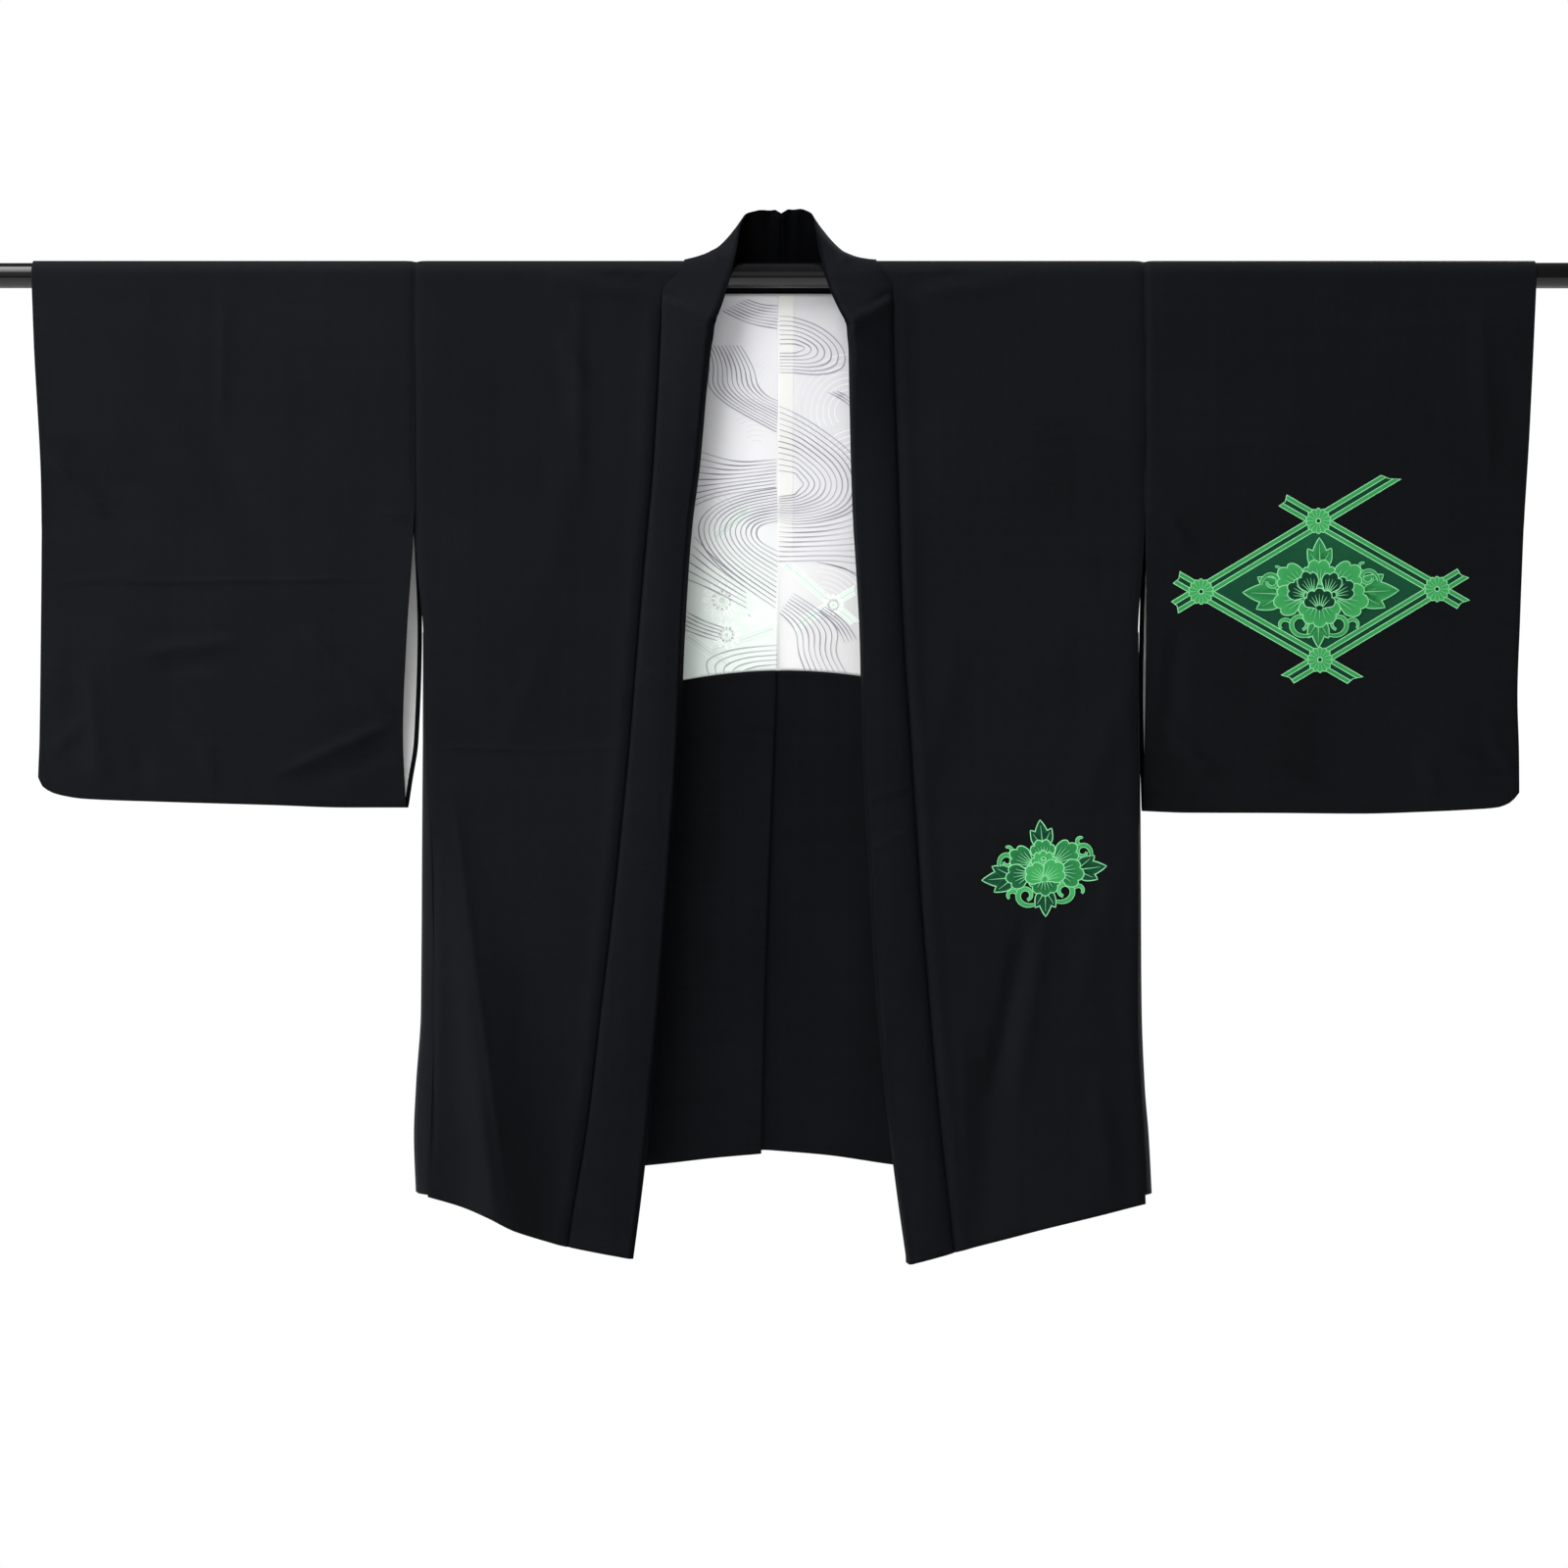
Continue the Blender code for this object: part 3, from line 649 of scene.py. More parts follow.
# The lining's pale woven figures, in millimetres right of the middle and above the rod's axis: ribbons
# by their two ends, flower heads, and tendrils, on the right only. Layers run from back to front.
PALE_RIBBONS = {
    "right": chart(
        "layer x_a up_a x_b up_b",
        (0, -62, -228, -30, -200),
        (0, -7, -305, -64, -325),
        (0, -86, -311, -48, -338),
    ),
    "left": chart("layer x_a up_a x_b up_b", (0, 0, -248, 62, -301), (2, 62, -272, 9, -304)),
}
PALE_HEADS = {
    "right": chart(
        "layer x up radius eye_tone line",
        (2, -54, -281, 17, 0.05, 0.9),
        (2, -50, -311, 12, 0.05, 0.9),
    ),
    "left": chart("layer x up radius eye_tone line", (4, 43, -285, 9, 0.10, 0.8)),
}
PALE_TENDRILS = {
    "right": chart("layer x up turn curl", (6, -37, -290, -10, -300), (6, -34, -304, 10, 320)),
    "left": {},
}

# The lining's seam, and the edge of the pressed tuck to the left of it.
LINING_SEAM = table("drop x", (0, -4.6), (200, -5.2), (350, -6.0))
TUCK_EDGE = table("drop x", (0, 9.4), (150, 8.8), (350, 8.0))


def curve(rows, key, column, at):
    """A smooth line through a table's points: cubic spans whose slopes never swing past the points.

    A point's slope is the harmonic mean of the rates before and after it, or level where they differ
    in sign.
    """
    places = rows[key]
    values = rows[column]
    rates = np.diff(values) / np.diff(places)
    before, after = rates[:-1], rates[1:]
    same = before * after > 0
    total = np.where(same, before + after, 1)
    slopes = np.where(same, 2 * before * after / total, 0)
    slopes = np.concatenate([rates[:1], slopes, rates[-1:]])
    at = np.clip(at, places[0], places[-1])
    span = np.clip(np.searchsorted(places, at, side="right") - 1, 0, len(places) - 2)
    step = places[span + 1] - places[span]
    t = (at - places[span]) / step
    rise = values[span + 1] - values[span]
    start = slopes[span] * step
    end = slopes[span + 1] * step
    bend = t * t * (3 - 2 * t)
    return values[span] + rise * bend + t * (1 - t) * ((1 - t) * start - t * end)


def blend(first, second, share):
    """The first value, moved by a share of the way to the second."""
    return first + (second - first) * share


def smooth_step(value):
    """0 below 0 and 1 above 1, with 3v^2 - 2v^3 between them."""
    value = np.clip(value, 0, 1)
    return value * value * (3 - 2 * value)


def bell(distance, reach):
    """1 at no distance, falling off to either side as exp(-(distance / reach)^2)."""
    return np.exp(-((distance / reach) ** 2))


def settled(drop):
    """0 at the rod's level and 1 from SETTLED_DROP down, as a smooth step."""
    return smooth_step(drop / SETTLED_DROP)


def sewn_to_sleeve(drop):
    """1 along the armhole seam, changing to 0 over its last stretch, at the armhole's foot."""
    return smooth_step((ARMHOLE_DROP - drop) / ARMHOLE_FADE)


def side_groove(off, drop):
    """The groove along a panel's side: a bell across the armhole seam and, below it, the side seam."""
    sewn = sewn_to_sleeve(drop)
    return (ARMHOLE_GROOVE * sewn + SIDE_GROOVE * (1 - sewn)) * bell(off, GROOVE_REACH)


def folds(rows, x, drop):
    """Large soft folds: each is a bell across its line, growing and widening down it, steeper on its
    outer side."""
    total = np.zeros_like(x * drop)
    for x_top, drop_top, x_foot, drop_foot, height, half_width in each(rows):
        along = (drop - drop_top) / (drop_foot - drop_top)
        middle = blend(x_top, x_foot, along)
        width = half_width * (0.45 + 0.55 * np.clip(along, 0, 1))
        off = (x - middle) * np.sign(middle)
        total += height * smooth_step(along) * bell(off, width * np.where(off < 0, 1.5, 0.9))
    return total


def creases(rows, x, drop):
    """Narrow creases: each is a bell across a straight line, fading over a quarter of it at each end."""
    total = np.zeros_like(x * drop)
    for x_a, drop_a, x_b, drop_b, height, half_width in each(rows):
        run, fall = x_b - x_a, drop_b - drop_a
        length = np.hypot(run, fall)
        along = ((x - x_a) * run + (drop - drop_a) * fall) / length**2
        off = ((x - x_a) * fall - (drop - drop_a) * run) / length
        total += height * smooth_step(along * 4) * smooth_step((1 - along) * 4) * bell(off, half_width)
    return total


def waves(x, drop, seed):
    """The uneven hang of soft silk: a sum of long, low sine waves, none of them level."""
    total = np.zeros_like(x * drop)
    for turn, length, height in each(HANG_WAVES):
        phase = (x * np.cos(turn + seed) + drop * np.sin(turn + seed)) / (length / 1000)
        total += height / 1000 * np.sin(2 * np.pi * phase + seed * 5)
    return total


# How many places are packed about each one that needs them.
PACKED = 13


def clustered(count, *near, reach=0.012):
    """Places from 0 to 1, evenly spaced, with extra ones packed about each given place."""
    extra = [np.linspace(place - reach, place + reach, PACKED) for place in near]
    return np.unique(np.clip(np.concatenate([np.linspace(0, 1, count), *extra]), 0, 1))


# Places across a body panel, from its side seam to the collar or the shoulder point.
BODY_ACROSS = clustered(50, 0.0, 1.0)


def hem_rows(share, longest, level, hem):
    """Drops that stay level down to a given drop and below it fan out to meet the hem's own line."""
    drop = share * longest
    below = (drop - level) / (longest - level)
    return np.where(below > 0, level + below * (hem - level), drop)


def panel_grid(panel, hem, columns, places, inset=0):
    """x and drop of a panel's grid, from the rod's level down to its hem line.

    Each row's x is read at its drop and the hem's drop at each x, three times over, which settles both.
    """
    rows = ROWS[panel]
    packed = [drop / rows["longest"] for drop in rows["packed"]]
    share = clustered(rows["count"], *packed, reach=rows["reach"])[:, None]
    foot = rows["foot"]
    for _ in range(3):
        drop = hem_rows(share, rows["longest"], rows["level"], foot - inset) * np.ones(columns)
        x = places(drop)
        foot = curve(hem, "x", "drop", x)
    return x, drop


# Body -----------------------------------------------------------------------------------------

# The back's crest: its height, its reach to the right and the left, and the drops it grows over. Then
# the depth of its fall, how soon it falls and how slowly it fades.
CREST = 0.0065
CREST_REACH = (0.034, 0.046)
CREST_TOP_DROP = 0.20
CREST_GROWTH = 0.30
CREST_FALL = 0.0070
FALL_EDGE = 0.0036
FALL_FADE = 0.040


def hang(layer, drop):
    """How far the front or the back layer stands from the rod's axis, before its folds."""
    return OUTER_RADIUS + curve(BODY_SPREAD, "drop", layer, drop)


def front_out(side, x, drop):
    """How far the front panel's outer face stands from the rod's axis, towards the viewer.

    The hang, the folds, the creases and the waves, less the groove along the side and the collar
    seam's hollow and stitch line, a wide bell and a narrow one, plus a low bell over its turnings.
    """
    seam = np.abs(x - curve(FRONT[side], "drop", "seam", drop))
    edge = np.abs(x - curve(FRONT[side], "drop", "side", drop))
    name = "front_" + side
    free = settled(drop)
    out = hang("front", drop) + folds(FOLDS[name], x, drop)
    out = out + creases(CREASES[name], x, drop) + waves(x, drop, seed=1.3 + SIDES[side]) * free
    out = out - (SEAM_HOLLOW * bell(seam, HOLLOW_REACH) + SEAM_STITCH * bell(seam, STITCH_REACH)) * free
    out = out + TURNING_RISE * bell(seam - TURNING_OFF, TURNING_REACH) * free
    return out - side_groove(edge, drop)


def back_groove(x, drop):
    """The pressed groove along the centre back seam: a bell just to the left of it."""
    off = x - curve(CENTRE_BACK, "drop", "x", drop)
    return BACK_GROOVE * bell(off - BACK_GROOVE_OFF, BACK_GROOVE_REACH) * settled(drop)


def back_out(side, x, drop):
    """How far the back panel's outer face stands behind the rod's axis.

    The hang, the folds, the creases and the waves, the seam's groove, and a crest where the cloth
    leans forward: a bell about the centre back, wider to the left, which just left of the seam falls
    back sharply, as a rising exponential times a fading one. The crest grows down the back.
    """
    off = x - curve(CENTRE_BACK, "drop", "x", drop)
    edge = np.abs(x - curve(BACK[side], "drop", "side", drop))
    out = hang("back", drop) + folds(FOLDS["back"], x, drop)
    out = out + creases(CREASES["back"], x, drop) + waves(x, drop, seed=4.1) * settled(drop)
    crest = CREST * bell(off, np.where(off < 0, *CREST_REACH))
    fall = CREST_FALL * np.where(off > 0, (1 - np.exp(-off / FALL_EDGE)) * np.exp(-off / FALL_FADE), 0)
    growth = smooth_step((drop - CREST_TOP_DROP) / CREST_GROWTH)
    out = out - growth * (crest - fall) + back_groove(x, drop)
    return out - side_groove(edge, drop)


def front_grid(side):
    """x, out and drop of the front panel: rows from the hem up, columns from the side to the collar."""

    def places(drop):
        seam = curve(FRONT[side], "drop", "seam", drop) + SIDES[side] * GAP
        return blend(curve(FRONT[side], "drop", "side", drop), seam, BODY_ACROSS)

    x, drop = panel_grid("front", FRONT_HEM[side], len(BODY_ACROSS), places)
    x, drop = x[::-1], drop[::-1]
    return x, front_out(side, x, drop), drop


def back_grid(side):
    """x, out and drop of the back panel: rows from the rod's level down, columns from the side to the
    shoulder point and on to the centre back."""
    to_centre = np.linspace(0, 1, 21)[1:]

    def places(drop):
        edge = curve(BACK[side], "drop", "side", drop[:, : len(BODY_ACROSS)])
        centre = curve(CENTRE_BACK, "drop", "x", drop[:, -1:]) - SIDES[side] * LAP
        main = blend(edge, SHOULDER_X[side], BODY_ACROSS)
        return np.concatenate([main, blend(SHOULDER_X[side], centre, to_centre)], axis=1)

    x, drop = panel_grid("back", BACK_HEM[side], len(BODY_ACROSS) + len(to_centre), places)
    return x, back_out(side, x, drop), drop


def flat_points(x, y, z):
    """A list of points from grids of x, y and z."""
    x, y, z = np.broadcast_arrays(x, y, z)
    return np.stack([x.ravel(), y.ravel(), z.ravel()], axis=1)


def grid_faces(index):
    """Four-sided faces of a grid of vertex numbers; -1 marks a place with no vertex."""
    corners = [index[:-1, :-1], index[1:, :-1], index[1:, 1:], index[:-1, 1:]]
    faces = np.stack(corners, axis=2).reshape(-1, 4)
    return faces[faces.min(axis=1) >= 0]


def rim_faces(faces, count):
    """The faces that join two skins round every open edge: the edges that only one face has."""
    ends = np.concatenate([faces[:, [i, (i + 1) % 4]] for i in range(4)])
    keys = ends[:, 0] * count + ends[:, 1]
    turned = ends[:, 1] * count + ends[:, 0]
    start, end = ends[~np.isin(keys, turned)].T
    return np.stack([end, start, start + count, end + count], axis=1)


def two_skins(outer, inner, faces):
    """A cloth's points and faces: an outer skin, an inner skin facing the other way, and a rim.

    The sum of the faces' triple products is the volume, whose sign shows whether they face outwards.
    """
    count = len(outer)
    points = np.concatenate([outer, inner])
    skins = np.concatenate([faces, faces[:, ::-1] + count, rim_faces(faces, count)])
    a, b, c, d = (points[skins[:, i]] for i in range(4))
    volume = (np.cross(a, b) * c).sum() + (np.cross(a, c) * d).sum()
    return points, skins if volume > 0 else skins[:, ::-1]


def piece(name, points, faces, finish, smooth=True):
    """A mesh of four-sided faces, riding on the part's only body."""
    mesh = bpy.data.meshes.new(name)
    mesh.vertices.add(len(points))
    mesh.vertices.foreach_set("co", np.asarray(points, np.float32).ravel())
    mesh.loops.add(faces.size)
    mesh.loops.foreach_set("vertex_index", np.asarray(faces, np.int32).ravel())
    mesh.polygons.add(len(faces))
    mesh.polygons.foreach_set("loop_start", np.arange(0, faces.size, 4, dtype=np.int32))
    mesh.polygons.foreach_set("use_smooth", np.full(len(faces), smooth))
    mesh.update(calc_edges=True)
    mesh.materials.append(finish)
    made = bpy.data.objects.new(name, mesh)
    bpy.context.scene.collection.objects.link(made)
    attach(made, "root")
    return made


def paint(made, name, values):
    """Keeps a number for each vertex, which the piece's finish reads by its name."""
    kept = made.data.attributes.new(name, "FLOAT", "POINT")
    kept.data.foreach_set("value", np.asarray(values, np.float32).ravel())


def cloth(kind, side, finish, skins, faces):
    """A piece of cloth standing for its CAD node, whose CAD part it hides."""
    node = kind + "_" + side
    made = piece(node + "_cloth", *two_skins(*skins, faces), finish)
    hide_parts(node)
    return made


# The turns of the cloth's half circle over the rod, from the front to the back.
ROD_TURNS = np.linspace(np.pi, 0, 15)[1:-1, None]


def neck_edge(side, turn):
    """The neck edge's x at a turn about the rod: it moves in up the front half and then stays."""
    rise = np.where(np.cos(turn) < 0, np.sin(turn), 1) * OUTER_RADIUS
    return curve(FRONT[side], "drop", "seam", -rise)


def over_rod(x, off, inset):
    """The points of a half circle of cloth over the rod, drawn in by the armhole seam's groove."""
    radius = OUTER_RADIUS - inset - ARMHOLE_GROOVE * bell(off, GROOVE_REACH)
    return flat_points(x, radius * np.cos(ROD_TURNS), radius * np.sin(ROD_TURNS))


def body_panel(side, finish):
    """One length of cloth from the front hem, over the rod as a half circle, to the back hem."""
    x_front, out_front, drop_front = front_grid(side)
    x_back, out_back, drop_back = back_grid(side)
    x_top = blend(SLEEVE_SEAM_X[side], neck_edge(side, ROD_TURNS), BODY_ACROSS)
    off = np.abs(x_top - SLEEVE_SEAM_X[side])
    skins = []
    for inset in (0, SILK):
        front = flat_points(x_front, inset - out_front, -drop_front)
        back = flat_points(x_back, out_back - inset, -drop_back)
        skins.append(np.concatenate([front, over_rod(x_top, off, inset), back]))
    index = np.full((len(x_front) + len(x_top) + len(x_back), x_back.shape[1]), -1)
    front_rows, columns = len(x_front) + len(x_top), x_front.shape[1]
    count = front_rows * columns
    index[:front_rows, :columns] = np.arange(count).reshape(front_rows, columns)
    index[front_rows:] = count + np.arange(x_back.size).reshape(x_back.shape)
    return cloth("body", side, finish, skins, grid_faces(index))


# Sleeves --------------------------------------------------------------------------------------

# Half the bag's depth: at least, at most, and at a folded edge. Then the reach of the edge's turn.
THINNEST_HALF = 0.0022
DEEPEST_HALF = OUTER_RADIUS + 0.0025
EDGE_HALF = 0.0012
EDGE_TURN = 0.005
# The distances over which the relief fades at the bottom, the wrist and the rod.
BOTTOM_FADE = 0.030
WRIST_FADE = 0.015
ROD_FADE = 0.05
SLEEVE_SEEDS = {"front": 2.2, "back": 5.0}


def sleeve_half(side, u, drop):
    """Half the bag's depth: a parabola across it through the body, middle and wrist values."""
    ends = [curve(SLEEVE_HALF, "drop", column, drop) for column in ("body", "middle", "wrist")]
    shape = ends[0] * (1 - u) * (1 - 2 * u) + 4 * ends[1] * u * (1 - u) + ends[2] * u * (2 * u - 1)
    return np.clip(shape, THINNEST_HALF, DEEPEST_HALF)


def turned_edge(distance):
    """A quarter-circle rise from 0 at a folded edge to 1 at its turn's end."""
    near = np.clip(1 - distance / EDGE_TURN, 0, 1)
    return np.sqrt(1 - near**2)


def sleeve_out(side, layer, x, drop):
    """How far a sleeve layer's face stands from the rod's axis.

    The bag's half depth and its relief, drawn in to a folded edge along the bottom and, below the hand
    opening, at the wrist, less the armhole seam's groove. The relief fades towards every edge.
    """
    edge = curve(SLEEVE[side], "drop", layer, drop)
    outer = curve(SLEEVE[side], "drop", "outer", drop)
    to_bottom = curve(SLEEVE_BOTTOM[side], "x", "drop", x) - drop
    to_wrist = np.abs(outer - x)
    relief = folds(FOLDS["sleeve_" + side], x, drop) + waves(x, drop, seed=SLEEVE_SEEDS[layer])
    if layer == "front":
        relief = relief + creases(CREASES["sleeve_" + side], x, drop)
    relief = relief * smooth_step(to_bottom / BOTTOM_FADE) * smooth_step(to_wrist / WRIST_FADE)
    out = sleeve_half(side, (x - edge) / (outer - edge), drop) + relief * smooth_step(drop / ROD_FADE)
    closed = smooth_step((drop - WRIST_OPENING_DROP) / 0.004)
    turn = turned_edge(to_bottom) * blend(1, turned_edge(to_wrist), closed)
    out = EDGE_HALF + (out - EDGE_HALF) * turn
    return out - ARMHOLE_GROOVE * sewn_to_sleeve(drop) * bell(x - edge, GROOVE_REACH)


def sleeve_layer(side, layer, inset):
    """x, out and drop of one layer's skin: rows from the bottom up, columns from the body to the wrist."""
    across = clustered(78, 0.0, 1.0)

    def places(drop):
        gap = SIDES[side] * (GAP + LAP) * sewn_to_sleeve(drop)
        outer = curve(SLEEVE[side], "drop", "outer", drop) - SIDES[side] * inset
        return blend(curve(SLEEVE[side], "drop", layer, drop) - gap, outer, across)

    x, drop = panel_grid("sleeve", SLEEVE_BOTTOM[side], len(across), places, inset)
    x, drop = x[::-1], drop[::-1]
    return x, sleeve_out(side, layer, x, drop) - inset, drop


def sleeve(side, finish):
    """A bag of cloth folded over the rod: the front skin, a half circle and the back skin, joined below
    and, from the hand opening down, at the wrist."""
    skins = []
    for inset in (0, SILK):
        x_front, out_front, drop_front = sleeve_layer(side, "front", inset)
        x_back, out_back, drop_back = sleeve_layer(side, "back", inset)
        x_top = blend(x_front[-1], x_back[-1], (1 + np.cos(ROD_TURNS)) / 2)
        top = over_rod(x_top, x_front[-1] - x_front[-1, 0], inset)
        front = flat_points(x_front, -out_front, -drop_front)
        back = flat_points(x_back[::-1], out_back[::-1], -drop_back[::-1])
        skins.append(np.concatenate([front, top, back]))
    rows, columns = x_front.shape
    ring = 2 * rows + len(ROD_TURNS)
    index = np.arange(ring * columns).reshape(ring, columns)
    closed = int((drop_front[:, -1] > WRIST_OPENING_DROP).sum())
    wrist = np.stack([index[::-1][:closed, -1], index[:closed, -1]])
    faces = np.concatenate([grid_faces(np.concatenate([index, index[:1]])), grid_faces(wrist)])
    return cloth("sleeve", side, finish, skins, faces)


# Gussets --------------------------------------------------------------------------------------


def gusset(side, finish):
    """The narrow wedge between front and back: straight lines across, swelling outward as half a sine
    raised to 0.8, with a shallow dent, a bell, along its pressed middle."""
    sign = SIDES[side]
    drop = np.linspace(GUSSET_TOP_DROP, GUSSET_FOOT_DROP, 110)[:, None]
    across = np.linspace(0, 1, 15)
    x_front = curve(FRONT[side], "drop", "side", drop)
    x_back = curve(BACK[side], "drop", "side", drop)
    y_front = SILK + GAP - front_out(side, x_front, drop)
    y_back = back_out(side, x_back, drop) - SILK - GAP
    swell = np.sin(np.pi * across) ** 0.8 - 0.18 * bell(across - 0.5, 0.10)
    skins = []
    for inset in (0, SILK):
        x = blend(x_front, x_back, across) - sign * inset
        bulge = curve(BACK[side], "drop", "bulge", drop) - sign * inset
        x = x + (bulge - x.mean(axis=1, keepdims=True)) * swell
        skins.append(flat_points(x, blend(y_front, y_back, across), -drop))
    return cloth("gusset", side, finish, skins, grid_faces(np.arange(x.size).reshape(x.shape)))


# Collar ---------------------------------------------------------------------------------------

# The free edge below the neck, at its top and its foot: how far it matches a point below its own on
# the sewn edge, and how far it stands in front of the seam. It leans out more near the neck.
EDGE_BELOW = (0.016, 0.010)
EDGE_STANDS = (0.0062, 0.0015)
EDGE_LEAN = 0.0055
LEAN_FADE = 0.12
# Half the length over which the neck's curve and the hanging edge are joined, and the length over which
# the two halves come together at the centre back.
EDGE_JOIN = 0.012
CENTRE_JOIN = 0.014
# The ruffle of the standing edge: its height, its length over two pi, and its reach along the edge.
RUFFLE = 0.0006
RUFFLE_LENGTH = 0.0042
RUFFLE_REACH = 0.030
# The band's roll: how far before the neck crease it starts, the length over which it comes in, and the
# least and the most of the width that it takes. Above it, the standing edge has a lip.
ROLL_AHEAD = 0.007
ROLL_RUN = 0.009
ROLL_LEAST = 0.0025
ROLL_MOST = 0.020
LIP = 0.002
# The rolled band's swell: its puff, and by height and reach its rise from the seam and its stitch line.
PUFF = 0.0016
BAND_RISE = 0.0036
RISE_REACH = 0.0022
BAND_STITCH = 0.0010
BAND_STITCH_REACH = 0.0015
# The neck crease's cusp: its height, how far it leans along the band, its reach before and after, and
# where along the band it comes in.
CUSP = 0.0038
CUSP_LEAN = 0.013
CUSP_REACH = (0.019, 0.030)
CUSP_START = 0.090
CUSP_RUN = 0.040
# How far before its corner the band starts to bend, and how far its face stands before its lines.
CORNER_REACH = 0.0026
BAND_FACE = 0.0012


def neck_path(side):
    """The body's neck edge as points along its length, packed about the neck crease.

    It runs along the back neck, over the rod as a half circle, and down the front panel's face.
    """
    sign = SIDES[side]
    centre = curve(CENTRE_BACK, "drop", "x", 0) - sign * LAP
    back = flat_points(blend(centre, SHOULDER_X[side], np.linspace(0, 1, 60)), OUTER_RADIUS, 0)
    turn = np.linspace(0, np.pi, 30)[1:-1]
    top = flat_points(neck_edge(side, turn), OUTER_RADIUS * np.cos(turn), OUTER_RADIUS * np.sin(turn))
    foot = curve(FRONT_HEM[side], "x", "drop", FRONT[side]["seam"][-1])
    drop = foot * np.linspace(0, 1, 500)
    x = curve(FRONT[side], "drop", "seam", drop) + sign * GAP
    front = flat_points(x, -front_out(side, x, drop), -drop)
    line = np.concatenate([back, top, front])
    run = np.concatenate([[0], np.cumsum(np.linalg.norm(np.diff(line, axis=0), axis=1))])
    near = NECK_CREASE[side] + np.linspace(-0.020, 0.015, 36)
    even = np.unique(np.concatenate([np.linspace(0, run[-1], 300), near]))
    return even, np.stack([np.interp(even, run, line[:, i]) for i in range(3)], axis=1)


def free_edge(side, run, edge):
    """The band's free edge, a point for each on the sewn edge.

    Round the neck it follows COLLAR_NECK's curve, with a slight ruffle, a sine under a bell. Below that
    it hangs a little lower than its sewn edge and stands proud of the seam's groove, less so down the
    front. The two are joined by a smooth step, and both halves meet at the centre back.
    """
    neck = COLLAR_NECK[side]
    shown = np.stack([curve(neck, "sewn", key, run) for key in ("x", "y", "z")], axis=1)
    end = neck["sewn"][-1]
    down = np.clip((run - end) / (run[-1] - end), 0, 1)
    below = blend(*EDGE_BELOW, down)
    x = curve(FRONT[side], "drop", "free", -edge[:, 2] + below)
    y = edge[:, 1] - (SEAM_HOLLOW + SEAM_STITCH) * settled(-edge[:, 2])
    y = y - blend(*EDGE_STANDS, smooth_step(down * 4))
    y = y - EDGE_LEAN * (1 - smooth_step((run - end) / LEAN_FADE))
    hanging = np.stack([x, y, edge[:, 2] - below], axis=1)
    shown = blend(shown, hanging, smooth_step((run - end + EDGE_JOIN) / (2 * EDGE_JOIN))[:, None])
    shown[:, 0] += (edge[0, 0] - shown[0, 0]) * (1 - smooth_step(run / CENTRE_JOIN))
    shown[:, 2] += RUFFLE * np.sin(run / RUFFLE_LENGTH) * bell(run, RUFFLE_REACH)
    return shown


def collar_sections(side):
    """The band's sewn edge, its front corner and its rolled-back edge, a point each per section.

    From the neck crease down the band rolls back at its corner by what is left of its width. The roll
    comes in as a smooth step.
    """
    run, edge = neck_path(side)
    shown = free_edge(side, run, edge)
    rolls = smooth_step((run - NECK_CREASE[side] + ROLL_AHEAD) / ROLL_RUN)[:, None]
    corner = shown + rolls * np.array([SIDES[side] * ROLL_SHOWN, 0, 0])
    width = np.linalg.norm(corner - edge, axis=1, keepdims=True)
    roll = np.clip(COLLAR_WIDTH - width, ROLL_LEAST, ROLL_MOST)
    rolled = shown + rolls * roll * TO_BACK
    rolled += (1 - rolls) * LIP * (shown - edge) / width
    return run, edge, corner, rolled, rolls


def unit(vectors):
    """The same directions, each one long."""
    return vectors / np.linalg.norm(vectors, axis=-1, keepdims=True)


def collar_swell(side, run, flat, across, rolls):
    """How far the band's face stands forward of a straight line from its sewn edge to its corner.

    Where it rolls: half a sine, plus an exponential rise from the seam that fades towards the corner,
    less a bell at the stitch line. At the neck crease: a cusp, exp(-distance), which grows from the
    sewn edge and leans as it crosses the band. Then the creases.
    """
    puff = PUFF * np.sin(np.pi * flat)
    rise = BAND_RISE * (1 - np.exp(-across / RISE_REACH)) * (1 - flat)
    stitch = BAND_STITCH * bell(across, BAND_STITCH_REACH)
    past = run - NECK_CREASE[side] + CUSP_LEAN * (1 - flat)
    cusp = np.exp(-np.abs(past) / np.where(past < 0, *CUSP_REACH))
    swell = (puff + rise - stitch) * rolls
    swell = swell + CUSP * flat**0.7 * cusp * smooth_step((run - CUSP_START) / CUSP_RUN)
    return swell + creases(COLLAR_CREASES[side], run, across)


def collar_lines(side):
    """The band's face, a line of points per section, and how many of them lie before its bend.

    Each line runs straight from the sewn edge to just before the corner, moved forward by the swell
    and by the gathers, which are bells over x and grow from the sewn edge. It rounds the corner on a
    quadratic arc and runs straight back.
    """
    run, sewn, corner, rolled, rolls = (part[:, None] for part in collar_sections(side))
    before = corner + unit(sewn - corner) * CORNER_REACH
    depth = np.linalg.norm(rolled - corner, axis=2)[..., None]
    after = corner + unit(rolled - corner) * np.minimum(CORNER_REACH, depth * 0.6)
    flat = clustered(26, 0.0, reach=0.05)[None, :, None]
    middle = blend(sewn, before, flat)
    across = np.linalg.norm(before - sewn, axis=2)[..., None] * flat
    swell = collar_swell(side, run[..., None] * np.ones_like(across), flat, across, rolls)
    gathers = each(NECK_GATHERS)
    gathered = sum(height * bell(middle[..., :1] - x, half_width) for x, height, half_width in gathers)
    middle = middle - TO_BACK * (swell + gathered * flat * (1 - rolls))
    t = np.linspace(0, 1, 8)[None, 1:-1, None]
    bend = middle[:, -1:] * (1 - t) ** 2 + corner * 2 * t * (1 - t) + after * t * t
    back = blend(after, rolled, np.linspace(0, 1, 6)[None, :, None])
    return np.concatenate([middle, bend, back], axis=1), flat.size


